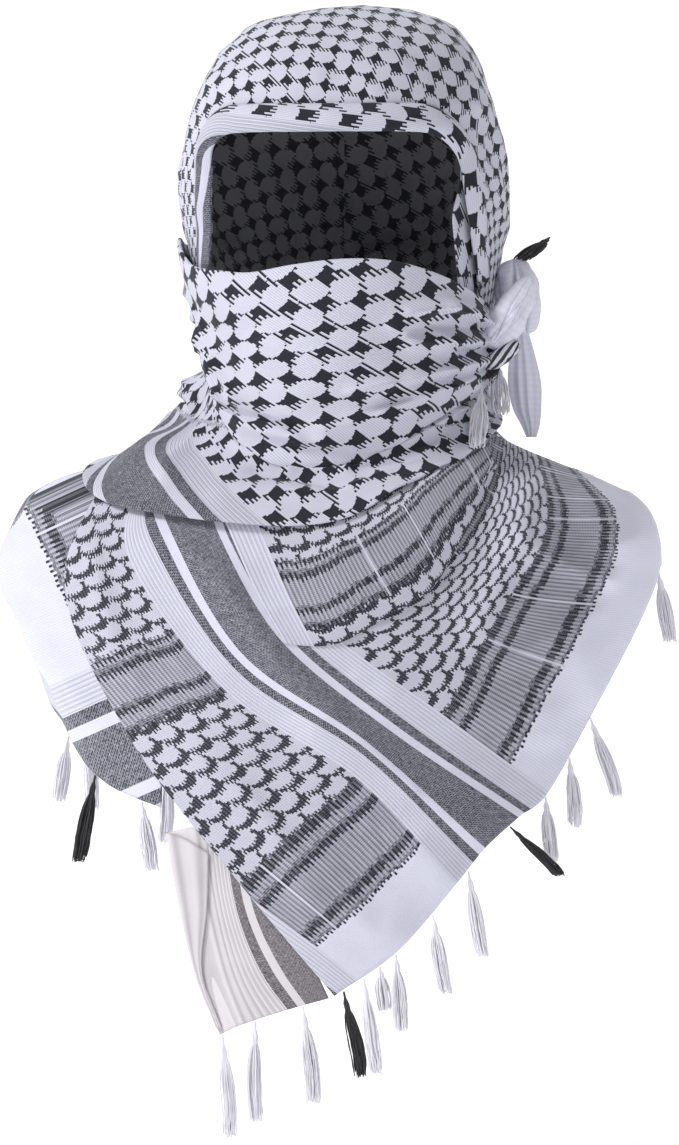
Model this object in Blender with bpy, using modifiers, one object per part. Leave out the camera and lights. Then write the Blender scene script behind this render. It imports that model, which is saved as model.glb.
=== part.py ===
"""Fringed scarf in houndstooth cotton, wound as a hood, a face cover and a shoulder drape.

Sizes are in millimetres until mesh points are made. The origin lies inside the crown,
where a head holds the scarf. The front faces -Y, +X is the right side seen from the
front, and a drop is a distance below the crown. A lift is a distance out from FIGURE,
the smooth general shape that the innermost layer lies on, and each layer over another
has the larger lift.
"""
import math

import bmesh
import bpy
from mathutils import Vector

MM = 0.001
WALL = 1.6
LAYER = 2.1
BOXINESS = 2.2

HOOD_LIFT = 2.0
HOOD_END = 240.0
# Lift of the drape on the chest and at its left shoulder, and the rise of the swag's middle
CHEST_LIFT = 6.2
CHEST_LIFT_LEFT = 5.0
SWAG_SWELL = 7.0
SWAG_GAP = 0.3
UNDER_LIFT = 1.8

EYE_LEFT = -79.0
EYE_RIGHT_TOP = 70.0
EYE_RIGHT_LOW = 79.0
EYE_TOP = 76.0
EYE_SIDE_END = 166.0
EYE_END = 184.0
EYE_LEFT_CORNER = 15.0
EYE_RIGHT_CORNER = 27.0
BROW_WIDTH = 16.0
# Profile of the brow fold: share of its width and lift off the hood
BROW_PROFILE = ((0.0, 2.3), (0.25, 5.0), (0.6, 5.6), (1.0, 2.3))
BROW_OVERHANG = 2.0
HOOD_DROPS = (3, 10, 20, 34, 50, 67, 84, 101, 119, 137, 155, 173, 191, 208, 224, HOOD_END)
HOOD_STEPS_ROUND = 40
CROWN_X = 11.0
# The cheek layer: drops of its ends, x of its front edge at both, turn of its back edge
CHEEK_TOP = 100.0
CHEEK_END = 182.0
CHEEK_X_TOP = 63.0
CHEEK_X_END = 71.0
CHEEK_BACK_TURN = 74.0
CHEEK_LIFT = -0.5
CHEEK_WAVE = 1.4

# Steps along and across each sheet that carries tassels
DRAPE_STEPS = (30, 18)
CAPE_STEPS = (44, 9)
UNDER_STEPS = (7, 7)

TASSEL_STRANDS = 6
TASSEL_NECK = 0.8
TASSEL_WIDTH = 4.2
TASSEL_GAP = 0.4
KNOT_GAP = 0.5

# Half sizes of the general figure: drop, left, right, front, back
FIGURE = (
    (2, 13, 36, 28, 36),
    (10, 50, 61, 46, 60),
    (20, 64, 72, 61, 75),
    (35, 77, 81, 78, 91),
    (64, 91, 89, 93, 104),
    (97, 95, 93, 100, 110),
    (136, 93, 95, 102, 108),
    (160, 90, 92, 101, 102),
    (178, 83, 89, 98, 96),
    (194, 77, 86, 95, 91),
    (210, 74, 83, 93, 86),
    (235, 76, 81, 91, 82),
    (250, 82, 85, 91, 83),
    (262, 96, 97, 92, 84),
    (270, 112, 110, 93, 87),
    (276, 130, 122, 95, 90),
    (282, 156, 134, 97, 93),
    (288, 174, 148, 101, 97),
    (296, 187, 168, 107, 101),
    (306, 193, 181, 115, 106),
    (322, 197, 187, 122, 110),
    (340, 198, 188, 128, 113),
    (364, 195, 187, 134, 116),
    (406, 176, 177, 140, 119),
    (440, 164, 166, 143, 120),
    (520, 160, 160, 146, 121),
    (620, 158, 158, 148, 122),
)

# Ring pieces: turn in degrees from the front, drops of both edges, lifts across
FACE_WRAP = (
    (-180, 147, 206, 7, 11, 9.5),
    (-140, 147, 211, 7, 10, 9.5),
    (-110, 143, 213, 8, 9, 10),
    (-90, 140, 214, 8, 7, 12),
    (-72, 148, 223, 10, 9, 12),
    (-60, 156, 234, 11, 12, 10.5),
    (-45, 159, 257, 12, 16, 10),
    (-30, 161, 275, 12, 20, 9.5),
    (-15, 157, 284, 13, 23, 9.5),
    (0, 154, 281, 13, 24, 9.5),
    (15, 155, 270, 12, 22, 9.5),
    (30, 162, 255, 11, 18, 10),
    (45, 171, 241, 9, 13, 10),
    (60, 180, 232, 8, 9, 10),
    (75, 187, 222, 7, 8, 10),
    (90, 184, 221, 7, 9, 10),
    (115, 170, 216, 7, 10, 9.5),
    (145, 156, 209, 7, 11, 9.5),
)
NECK_WRAP = (
    (-180, 197, 284, 4.2, 8, 6),
    (-140, 202, 283, 4.2, 8, 6),
    (-110, 203, 277, 4.2, 8, 6),
    (-90, 203, 275, 4.2, 8, 6.4),
    (-75, 210, 283, 4.2, 8, 8.6),
    (-60, 223, 302, 4.2, 9, 9.4),
    (-45, 246, 310, 4.2, 8, 11),
    (-30, 263, 315, 4.2, 8, 13),
    (-15, 272, 317, 4.2, 9, 13.5),
    (0, 269, 313, 4.2, 9, 13.5),
    (15, 258, 300, 4.2, 9, 13.5),
    (30, 243, 286, 4.2, 9, 13.5),
    (45, 229, 273, 4.2, 9, 14),
    (60, 221, 262, 4.2, 8, 14),
    (75, 212, 254, 4.2, 7, 12),
    (90, 211, 252, 4.2, 7, 8),
    (115, 206, 258, 4.2, 8, 6),
    (145, 199, 270, 4.2, 8, 6),
)
# The cape starts under the drape at the left front and ends behind its right edge
CAPE = (
    (-44, 298, 481, 2, 2, 2),
    (-60, 290, 468, 2, 2, 2),
    (-75, 276, 448, 2, 2, 2),
    (-90, 267, 437, 2, 3, 3),
    (-105, 267, 438, 2, 5, 6),
    (-120, 268, 448, 2, 6, 8),
    (-135, 270, 462, 2, 6, 8),
    (-150, 270, 490, 2, 6, 8),
    (-180, 272, 535, 2, 6, 8),
    (-210, 262, 455, 2, 6, 8),
    (-225, 254, 415, 2, 5, 7),
    (-240, 248, 372, 2, 3, 4),
    (-260, 243, 328, 2, 2, 2),
    (-275, 242, 320, 2, 2, 2),
    (-286, 242, 304, 2, 2, 2),
)

# Lines of the drape from hem to neck, left to right: x and drop at five stations
DRAPE = (
    (-5, 592, -61, 526, -128, 439, -167, 349, -141, 279),
    (32, 566, -28, 494, -98, 425, -146, 341, -134, 282),
    (67, 526, 7, 463, -70, 412, -128, 334, -124, 286),
    (84, 505, 14, 442, -61, 389, -105, 313, -108, 288),
    (104, 487, 26, 434, -37, 382, -73, 322, -81, 292),
    (122, 472, 58, 425, -12, 373, -47, 325, -60, 294),
    (152, 419, 80, 388, 34, 356, -4, 322, -22, 293),
    (178, 370, 97, 359, 64, 334, 36, 312, 18, 286),
    (191, 335, 116, 329, 80, 313, 58, 296, 46, 275),
    (187, 303, 122, 303, 91, 289, 76, 277, 66, 262),
    (155, 285, 116, 270, 96, 261, 87, 256, 80, 250),
)
# Lines of the chest swag from its lower fold to the neck, left to right
SWAG = (
    (-37, 385, -49, 352, -66, 306),
    (-5, 383, -20, 352, -38, 309),
    (25, 367, 7, 337, -8, 305),
    (52, 350, 34, 319, 19, 294),
    (67, 326, 52, 298, 41, 280),
    (82, 299, 72, 279, 63, 267),
    (92, 278, 87, 267, 81, 256),
)
# Lines of the corner turned back under the drape, from its hem to its top
UNDER = (
    (-74, 616, -88, 583, -98, 541, -106, 496),
    (-61, 610, -71, 577, -79, 535, -83, 493),
    (-34, 601, -44, 577, -53, 544, -59, 508),
    (-9, 594, -17, 577, -26, 556, -35, 532),
)
UNDER_FOLD = (
    (-76, 612, -89, 578, -98, 541, -106, 496),
    (-75, 612, -87, 578, -90, 541, -95, 500),
    (-74, 612, -85, 578, -82, 541, -81, 508),
)

# Creases: both ends as x (or arc) and drop, then height and half width
CHEST_FOLDS = (
    (112, 292, 108, 322, 12, 13),
    (108, 322, 84, 372, 7, 12),
    (122, 330, 158, 344, 3.5, 7),
    (150, 300, 166, 322, 5, 14),
    (-160, 318, -128, 412, 4, 13),
    (-74, 345, -18, 424, 5, 13),
    (-10, 436, 72, 492, 5, 16),
    (30, 412, 118, 428, 3.5, 12),
    (-86, 452, -24, 520, 4, 14),
    (-18, 540, 26, 552, 5, 14),
    (44, 505, 62, 524, 4, 12),
    (140, 380, 150, 412, 4, 13),
)
HOOD_FOLDS = (
    (-120, 48, -20, 44, 2, 9),
    (115, 105, 158, 182, 4, 9),
    (128, 85, 170, 150, 3, 10),
    (100, 48, 158, 96, 3, 14),
    (-60, 24, 40, 34, 2, 12),
    (-160, 100, -178, 150, 3, 10),
    (200, 60, 230, 170, 5, 18),
    (290, 50, 285, 190, 5, 18),
    (-235, 80, -240, 180, 5, 16),
)
FACE_FOLDS = (
    (62, 196, 128, 204, 5, 8),
    (40, 230, 118, 212, 5, 8),
    (-10, 258, 92, 232, 5, 7),
    (-120, 196, -62, 262, 4, 7),
    (-95, 246, -30, 264, 4, 6),
    (70, 178, 128, 192, 3, 7),
    (180, 175, 260, 185, 3, 9),
    (-180, 180, -270, 190, 3, 9),
)
NECK_FOLDS = (
    (-174, 236, -146, 238, 26, 14),
    (-150, 262, -90, 288, 3, 8),
    (-60, 298, 30, 297, 3, 6),
    (180, 235, 280, 245, 4, 9),
    (-190, 240, -270, 245, 4, 9),
)
CAPE_FOLDS = (
    (-150, 330, -118, 452, 4, 13),
    (-182, 330, -166, 420, 4, 12),
    (-226, 350, -232, 415, 10, 16),
    (-262, 340, -262, 470, 12, 17),
    (-312, 330, -318, 520, 13, 18),
    (-362, 330, -358, 470, 12, 17),
    (-404, 310, -396, 400, 8, 14),
)
ARC_PER_DEGREE = 1.75

# Knot lumps: name, what it rests on, turn and drop of its seat, half sizes, crease
# depth, creases round
KNOT_LUMPS = (
    ("knot_puff", "hood", 77, 171, (15, 13, 20), 0.12, 5),
    ("knot_band", "wrap", 60, 187, (13, 10.5, 13.5), 0.05, 3),
    ("knot_loop", "wrap", 57, 205.6, (8.5, 7, 5), 0.04, 3),
)
# The hanging tail, from the bottom of the puff: drop, left and right, forward, fold depth
KNOT_TAIL = (
    (0, -5, 5, 0, 1),
    (14, -6, 9, -1, 2.5),
    (32, -7, 13, -3, 3.5),
    (48, -4, 13, -4, 3.5),
    (58, 1, 12, -5, 2.5),
    (65, 4, 10, -6, 1),
)

# Hem tassels: name, hem it hangs from, place along the hem from 0 to 1, reach
# across and forward, length, cloth colour
HEM_TASSELS = (
    ("tassel_shoulder_1", "cape", 0.160, -6, 0, 40, "white"),
    ("tassel_shoulder_2", "cape", 0.077, -10, -2, 53, "black"),
    ("tassel_shoulder_3", "cape", 0.018, 6, -3, 42, "white"),
    ("tassel_back_1", "cape", 0.25, 2, 3, 44, "white"),
    ("tassel_back_2", "cape", 0.335, -2, 3, 46, "white"),
    ("tassel_back_3", "cape", 0.42, 3, 2, 45, "black"),
    ("tassel_back_4", "cape", 0.50, -2, 2, 46, "white"),
    ("tassel_back_5", "cape", 0.585, 2, 3, 44, "white"),
    ("tassel_back_6", "cape", 0.67, -3, 3, 44, "white"),
    ("tassel_back_7", "cape", 0.755, 2, 2, 43, "white"),
    ("tassel_under_1", "under", 0.02, 4, 0, 62, "white"),
    ("tassel_under_2", "under", 0.34, 1, -1, 60, "white"),
    ("tassel_under_3", "under", 0.77, 6, -2, 58, "white"),
    ("tassel_front_1", "drape", 0.012, 10, -2, 52, "black"),
    ("tassel_front_2", "drape", 0.045, 8, -3, 58, "white"),
    ("tassel_front_3", "drape", 0.072, 3, 2, 26, "white"),
    ("tassel_front_4", "drape", 0.100, 3, -2, 46, "white"),
    ("tassel_front_5", "drape", 0.175, 8, -3, 48, "white"),
    ("tassel_front_6", "drape", 0.255, 9, -2, 52, "white"),
    ("tassel_front_7", "drape", 0.345, 30, -4, 42, "black"),
    ("tassel_front_8", "drape", 0.420, 4, -3, 40, "white"),
    ("tassel_front_9", "drape", 0.490, 3, -2, 42, "white"),
    ("tassel_front_10", "drape", 0.555, 16, -2, 50, "white"),
    ("tassel_front_11", "drape", 0.820, 7, 0, 42, "white"),
)
# Knot tassels: name, turn and drop of the seat on the face wrap, run to the tip, colour
KNOT_TASSELS = (
    ("knot_strands_white", 53, 230, (-3, -31, -36), "white"),
    ("knot_strands_dark", 63, 212, (-7, -22, -11), "black"),
    ("knot_strands_loose", 70, 214, (1, -20, -30), "white"),
)
TOP_STRANDS_RUN = (19, -5, 13)

COLOURS = {
    "houndstooth": ((0.62, 0.62, 0.65), 0.85),
    "border": ((0.55, 0.55, 0.59), 0.85),
    "white": ((0.82, 0.82, 0.85), 0.80),
    "black": ((0.02, 0.02, 0.025), 0.75),
}


def blend(rows, place):
    """Read the columns of a table at a place on its first column, on a smooth curve."""
    last = len(rows) - 1
    sign = 1 if rows[last][0] > rows[0][0] else -1
    low = 0
    while low < last - 1 and sign * (place - rows[low + 1][0]) > 0:
        low += 1
    start, end = rows[low], rows[low + 1]
    span = end[0] - start[0]
    t = (place - start[0]) / span
    before = rows[max(low - 1, 0)]
    after = rows[min(low + 2, last)]
    result = []
    for column in range(1, len(start)):
        slope_in = (end[column] - before[column]) / (end[0] - before[0]) * span
        slope_out = (after[column] - start[column]) / (after[0] - start[0]) * span
        a = 2 * start[column] - 2 * end[column] + slope_in + slope_out
        b = 3 * end[column] - 3 * start[column] - 2 * slope_in - slope_out
        result.append(((a * t + b) * t + slope_in) * t + start[column])
    return result


def figure_point(turn, drop):
    """Point of the general figure at a turn in degrees from the front and a drop."""
    left, right, front, back = blend(FIGURE, drop)
    across = math.sin(math.radians(turn))
    forward = math.cos(math.radians(turn))
    side = right if across >= 0 else left
    depth = front if forward >= 0 else back
    radius = ((abs(across) / side) ** BOXINESS + (abs(forward) / depth) ** BOXINESS) ** (-1 / BOXINESS)
    return Vector((radius * across, -radius * forward, -drop))


def skin(turn, drop, lift):
    """Point that lies lifted off the figure along its normal."""
    here = figure_point(turn, drop)
    round_step = figure_point(turn + 0.5, drop) - figure_point(turn - 0.5, drop)
    down_step = figure_point(turn, drop + 0.4) - figure_point(turn, drop - 0.4)
    return here + round_step.cross(down_step).normalized() * -lift


def turn_at(x, drop):
    """Turn at which the front of the figure has this x."""
    left, right, front, _ = blend(FIGURE, drop)
    side = right if x >= 0 else left
    ratio = min(abs(x) / side, 0.985)
    depth = front * (1 - ratio ** BOXINESS) ** (1 / BOXINESS)
    return math.degrees(math.atan2(math.copysign(ratio * side, x), depth))


def front_place(x, drop, lift):
    """Turn and drop of the figure under the front point that has this x and drop when lifted."""
    try_x, try_drop = x, drop
    for _ in range(10):
        point = skin(turn_at(try_x, try_drop), try_drop, lift)
        try_x += 0.8 * (x - point.x)
        try_drop += 0.8 * (drop + point.z)
    return turn_at(try_x, try_drop), try_drop


def front_point(x, drop, lift):
    """Point lifted off the front of the figure whose own x and drop are the ones given."""
    return skin(*front_place(x, drop, lift), lift)


def fold_lift(folds, a, b):
    """Sum of the soft ridges of a fold table at one place."""
    total = 0.0
    for a1, b1, a2, b2, height, width in folds:
        run_a, run_b = a2 - a1, b2 - b1
        t = ((a - a1) * run_a + (b - b1) * run_b) / (run_a ** 2 + run_b ** 2)
        t = min(max(t, 0.0), 1.0)
        gap = math.hypot(a - a1 - t * run_a, b - b1 - t * run_b)
        total += height * math.exp(-(gap / width) ** 2)
    return total


def fade(value, start, end):
    """Smooth step from 0 at start to 1 at end."""
    t = min(max((value - start) / (end - start), 0.0), 1.0)
    return t * t * (3 - 2 * t)


def mesh_object(name, points, faces, colour, collection):
    """Object from points in millimetres, with its own cotton material."""
    mesh = bpy.data.meshes.new(name)
    mesh.from_pydata([point * MM for point in points], [], faces)
    mesh.update()
    piece = bpy.data.objects.new(name, mesh)
    collection.objects.link(piece)
    base, roughness = COLOURS[colour]
    material = bpy.data.materials.new(name + "_cotton")
    material.use_nodes = True
    shader = material.node_tree.nodes["Principled BSDF"]
    shader.inputs["Base Color"].default_value = (*base, 1.0)
    shader.inputs["Roughness"].default_value = roughness
    mesh.materials.append(material)
    return piece


def cloth(name, rows, colour, collection, closed=False, tip=None):
    """Wall of cloth through rows of points on its outer face, with Solidify for its thickness."""
    columns = len(rows[0])
    points = [point for row in rows for point in row]
    faces = []
    for r in range(len(rows) - 1):
        for c in range(columns if closed else columns - 1):
            right = (c + 1) % columns
            faces.append((r * columns + c, (r + 1) * columns + c,
                          (r + 1) * columns + right, r * columns + right))
    if tip is not None:
        points.append(tip)
        for c in range(columns):
            faces.append((len(points) - 1, c, (c + 1) % columns))
    piece = mesh_object(name, points, faces, colour, collection)
    wall = piece.modifiers.new("cloth wall", "SOLIDIFY")
    wall.thickness = WALL * MM
    wall.offset = -1.0
    wall.use_quality_normals = True
    return piece


def ring_lift(lifts, across):
    """Lift across a ring piece, on a curve through its top, middle and low lifts."""
    top, middle, low = lifts
    return (top * 2 * (across - 0.5) * (across - 1) + middle * 4 * across * (1 - across)
            + low * 2 * across * (across - 0.5))


def ring_point(table, folds, turn, across):
    """Point of a ring piece: its table gives both edges and the lifts between them."""
    top, low, *lifts = blend(table, turn)
    drop = top + (low - top) * across
    edge = fade(across, 0.0, 0.2) * (1 - 0.5 * fade(across, 0.8, 1.0))
    crease = fold_lift(folds, turn * ARC_PER_DEGREE, drop) * edge
    return skin(turn, drop, ring_lift(lifts, across) + crease)


def wrap_table(table):
    """Table with a copy of its first and last rows a full turn on, so its curve closes."""
    before = [(row[0] - 360, *row[1:]) for row in table[-2:]]
    after = [(row[0] + 360, *row[1:]) for row in table[:2]]
    return (*before, *table, *after)


def ring_piece(name, table, folds, steps_round, steps_across, colour, collection):
    """Ring of cloth all round the figure."""
    closed_table = wrap_table(table)
    rows = []
    for i in range(steps_across + 1):
        turns = [-180 + 360 * c / steps_round for c in range(steps_round)]
        rows.append([ring_point(closed_table, folds, turn, i / steps_across) for turn in turns])
    return cloth(name, rows, colour, collection, closed=True)


def net_place(lines, along, across):
    """Place (x, drop) on a net of lines: along goes from line to line, across up a line."""
    stations = len(lines[0]) // 2
    table = []
    for number, line in enumerate(lines):
        pairs = [(s, line[2 * s], line[2 * s + 1]) for s in range(stations)]
        table.append((number, *blend(pairs, across * (stations - 1))))
    return blend(table, along * (len(lines) - 1))


def net_rows(lines, steps_along, steps_across, lift_at):
    """Rows of points over a net, each lifted by what lift_at says at its place."""
    rows = []
    for j in range(steps_across + 1):
        row = []
        for i in range(steps_along + 1):
            along, across = i / steps_along, j / steps_across
            x, drop = net_place(lines, along, across)
            row.append(front_point(x, drop, lift_at(x, drop, along, across)))
        rows.append(row)
    rows.reverse()
    return rows


def chest_lift(x, drop):
    """Lift of the drape's outer face, its creases fading where the neck wrap lies on it."""
    start = CHEST_LIFT_LEFT + (CHEST_LIFT - CHEST_LIFT_LEFT) * fade(x, -120, -70)
    base = start + (CHEST_LIFT - start) * fade(drop, 300, 350)
    return base + fold_lift(CHEST_FOLDS, x, drop) * fade(drop, 258, 300)


def drape_lift(x, drop, along, across):
    return chest_lift(x, drop)


def swag_lift(x, drop, along, across):
    """The swag lies on the drape and swells between its lower fold and the neck."""
    swell = SWAG_SWELL * math.sin(math.pi * across ** 0.8) * (1 - 0.6 * fade(along, 0.6, 1.0))
    return chest_lift(x, drop) + LAYER + SWAG_GAP + swell


def under_lift(x, drop, along, across):
    """The corner lies just inside the drape, and stands off less at its left fold."""
    rise = 1.5 * fade(x, -78, -55) + 0.6 * fade(x, -60, -50) * (1 - fade(drop, 530, 545))
    return UNDER_LIFT + rise


def under_fold_lift(x, drop, along, across):
    return under_lift(x, drop, along, across) + LAYER


def eye_outline():
    """Stations round the eye opening, left to right: x, drop and the way out of it."""
    path = []
    left_top = EYE_TOP + EYE_LEFT_CORNER
    right_top = EYE_TOP + EYE_RIGHT_CORNER
    for i in range(7):
        path.append((EYE_LEFT, EYE_SIDE_END + (left_top - EYE_SIDE_END) * i / 7, -1.0, 0.0))
    for i in range(5):
        angle = math.pi / 2 * i / 4
        path.append((EYE_LEFT + EYE_LEFT_CORNER * (1 - math.cos(angle)),
                     left_top - EYE_LEFT_CORNER * math.sin(angle), -math.cos(angle), math.sin(angle)))
    start, end = EYE_LEFT + EYE_LEFT_CORNER, EYE_RIGHT_TOP - EYE_RIGHT_CORNER
    for i in range(1, 9):
        path.append((start + (end - start) * i / 9, EYE_TOP, 0.0, 1.0))
    for i in range(6):
        angle = math.pi / 2 * i / 5
        path.append((EYE_RIGHT_TOP - EYE_RIGHT_CORNER * (1 - math.sin(angle)),
                     right_top - EYE_RIGHT_CORNER * math.cos(angle), math.sin(angle), math.cos(angle)))
    for i in range(1, 7):
        path.append((EYE_RIGHT_TOP + (EYE_RIGHT_LOW - EYE_RIGHT_TOP) * i / 6,
                     right_top + (EYE_SIDE_END - right_top) * i / 6, 1.0, 0.0))
    return path


def build_eye_cutter(cutters):
    """Block through the front of the hood with the outline of the eye opening."""
    outline = [(x, drop) for x, drop, _, _ in eye_outline()]
    outline.insert(0, (EYE_LEFT, EYE_END))
    outline.append((EYE_RIGHT_LOW, EYE_END))
    shape = bmesh.new()
    near = [shape.verts.new((x * MM, -0.020, -drop * MM)) for x, drop in outline]
    front = bmesh.ops.extrude_face_region(shape, geom=[shape.faces.new(near)])
    moved = [item for item in front["geom"] if isinstance(item, bmesh.types.BMVert)]
    bmesh.ops.translate(shape, vec=(0, -0.130, 0), verts=moved)
    bmesh.ops.recalc_face_normals(shape, faces=shape.faces)
    mesh = bpy.data.meshes.new("eye_opening_cutter")
    shape.to_mesh(mesh)
    shape.free()
    cutter = bpy.data.objects.new("eye_opening_cutter", mesh)
    cutters.objects.link(cutter)
    cutter.display_type = "WIRE"
    cutter.hide_render = True
    return cutter


def hood_lift(turn, drop):
    """Lift of the hood's outer face: its creases fade under the face wrap."""
    crease = sum(fold_lift(HOOD_FOLDS, (turn + full) * ARC_PER_DEGREE, drop) for full in (-360, 0, 360))
    return HOOD_LIFT + crease * fade(drop, 10, 30) * (1 - fade(drop, 132, 146))


def build_hood(collection, cutters):
    """Hood over the crown and the back of the head, with a rounded eye opening cut in it."""
    turns = [-180 + 360 * c / HOOD_STEPS_ROUND for c in range(HOOD_STEPS_ROUND)]
    rows = [[skin(turn, drop, hood_lift(turn, drop)) for turn in turns] for drop in HOOD_DROPS]
    tip = Vector((CROWN_X, 0, HOOD_LIFT - 0.2))
    hood = cloth("hood", rows, "houndstooth", collection, closed=True, tip=tip)
    cut = hood.modifiers.new("eye opening", "BOOLEAN")
    cut.operation = "DIFFERENCE"
    cut.solver = "EXACT"
    cut.object = build_eye_cutter(cutters)
    return hood


def build_brow(collection):
    """Folded edge of the hood, a rounded strip laid round the eye opening."""
    rows = []
    flat_lift = BROW_PROFILE[0][1]
    for x, drop, out_x, out_up in eye_outline():
        turn = turn_at(x, drop)
        radius = Vector(figure_point(turn, drop).xy).length
        row = []
        for share, height in BROW_PROFILE:
            reach = BROW_WIDTH * share - BROW_OVERHANG
            full = 1 - fade(drop, 118, 140)
            over = flat_lift + (height - flat_lift) * (0.25 + 0.75 * full)
            side = turn + math.degrees(out_x * reach / radius)
            level = drop - out_up * reach
            row.append(skin(side, level, over + hood_lift(side, level)))
        rows.append(row)
    columns = [list(column) for column in zip(*rows)]
    columns.reverse()
    return cloth("brow_fold", columns, "houndstooth", collection)


def build_cheek(collection):
    """Layer inside the hood that shows at the right of the eye opening."""
    steps_down, steps_across = 6, 5
    rows = []
    for i in range(steps_down + 1):
        drop = CHEEK_TOP + (CHEEK_END - CHEEK_TOP) * i / steps_down
        first = turn_at(CHEEK_X_TOP + (CHEEK_X_END - CHEEK_X_TOP) * i / steps_down, drop)
        row = []
        for j in range(steps_across + 1):
            turn = first + (CHEEK_BACK_TURN - first) * j / steps_across
            wave = CHEEK_WAVE * math.sin(math.pi * j / steps_across) * (j % 2)
            row.append(skin(turn, drop, CHEEK_LIFT - wave))
        rows.append(row)
    return cloth("cheek_fold", rows, "houndstooth", collection)


def build_cape(collection):
    """Stretch on the left shoulder, across the back and over the right shoulder."""
    steps_round, steps_across = CAPE_STEPS
    first, last = CAPE[0][0], CAPE[-1][0]
    rows = []
    for i in range(steps_across + 1):
        row = []
        for c in range(steps_round + 1):
            turn = first + (last - first) * c / steps_round
            row.append(ring_point(CAPE, CAPE_FOLDS, turn, i / steps_across))
        row.reverse()
        rows.append(row)
    return cloth("shoulder_cape", rows, "border", collection)


def knot_seat(carrier, turn, drop):
    """Point of the hood or the face wrap under a piece of the knot, and the way out from it."""
    closed_table = wrap_table(FACE_WRAP)
    top, low, *_ = blend(closed_table, turn)

    def at(turn_step, drop_step):
        if carrier == "hood":
            return skin(turn + turn_step, drop + drop_step, hood_lift(turn + turn_step, drop + drop_step))
        across = (drop + drop_step - top) / (low - top)
        return ring_point(closed_table, FACE_FOLDS, turn + turn_step, across)

    out = (at(0, 2) - at(0, -2)).cross(at(2, 0) - at(-2, 0)).normalized()
    return at(0, 0), out


def lump_centre(carrier, turn, drop, half):
    """Centre of an ellipsoid that rests a small gap off its seat."""
    seat, out = knot_seat(carrier, turn, drop)
    reach = math.sqrt(sum((size * part) ** 2 for size, part in zip(half, out)))
    return seat + out * (reach + KNOT_GAP), out


def build_lump(name, carrier, turn, drop, half, crease, count, collection):
    """Rounded lump of knotted cloth, creased on its outer side."""
    centre, out = lump_centre(carrier, turn, drop, half)
    bpy.ops.mesh.primitive_uv_sphere_add(segments=14, ring_count=9, radius=1.0)
    source = bpy.context.object
    points = []
    for vertex in source.data.vertices:
        x, y, z = vertex.co
        angle = math.atan2(y, x)
        outer = fade(vertex.co.dot(out), 0.0, 0.5)
        swell = 1 - crease * outer * (0.5 + 0.5 * math.cos(count * angle + 2.5 * z))
        points.append(centre + Vector((half[0] * x * swell, half[1] * y * swell, half[2] * z)))
    faces = [tuple(face.vertices) for face in source.data.polygons]
    bpy.data.objects.remove(source)
    return mesh_object(name, points, faces, "white", collection)


def build_tail(collection):
    """Hanging end of the knot, a strip folded lengthways below the puff."""
    _, carrier, turn, drop, half, _, _ = KNOT_LUMPS[0]
    start = lump_centre(carrier, turn, drop, half)[0] - Vector((0, 0, half[2] + KNOT_GAP))
    steps_down, steps_across = 9, 8
    rows = []
    for i in range(steps_down + 1):
        below = KNOT_TAIL[-1][0] * i / steps_down
        left, right, forward, depth = blend(KNOT_TAIL, below)
        row = []
        for j in range(steps_across + 1):
            share = j / steps_across
            fold = 0.5 * depth * (1 - math.cos(2 * math.pi * share))
            row.append(start + Vector((left + (right - left) * share, forward - fold, -below)))
        rows.append(row)
    return cloth("knot_tail", rows, "white", collection)


def build_tassel(name, root, tip, colour, collection, width=TASSEL_WIDTH):
    """Tassel as one closed body: a tied head, with strands grown from the faces below it."""
    root, tip = Vector(root), Vector(tip)
    axis = (tip - root).normalized()
    side = axis.cross(Vector((0, 1, 0.2))).normalized()
    front = axis.cross(side)
    length = (tip - root).length
    knob = 0.55 * width
    rings = ((0.0, TASSEL_NECK), (0.07 * length, knob), (0.13 * length, 0.8 * knob))
    shape = bmesh.new()
    loops = []
    for distance, radius in rings:
        loop = []
        for k in range(TASSEL_STRANDS):
            angle = 2 * math.pi * k / TASSEL_STRANDS
            offset = side * math.cos(angle) * radius + front * math.sin(angle) * radius
            loop.append(shape.verts.new(root + axis * distance + offset))
        loops.append(loop)
    shape.faces.new(loops[0])
    for upper, lower in zip(loops, loops[1:]):
        for k in range(TASSEL_STRANDS):
            turned = (k + 1) % TASSEL_STRANDS
            shape.faces.new((upper[k], lower[k], lower[turned], upper[turned]))
    middle = shape.verts.new(root + axis * rings[-1][0])
    sectors = [shape.faces.new((loops[-1][k], middle, loops[-1][(k + 1) % TASSEL_STRANDS]))
               for k in range(TASSEL_STRANDS)]
    bmesh.ops.inset_individual(shape, faces=sectors, thickness=0.14)
    start = root + axis * rings[-1][0]
    for number, sector in enumerate(sectors):
        grow_strand(shape, sector, start, tip, side, front, width, number)
    bmesh.ops.recalc_face_normals(shape, faces=shape.faces)
    bmesh.ops.triangulate(shape, faces=[face for face in shape.faces if len(face.verts) > 4])
    shape.verts.index_update()
    points = [vertex.co.copy() for vertex in shape.verts]
    faces = [tuple(vertex.index for vertex in face.verts) for face in shape.faces]
    shape.free()
    return mesh_object(name, points, faces, colour, collection)


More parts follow.
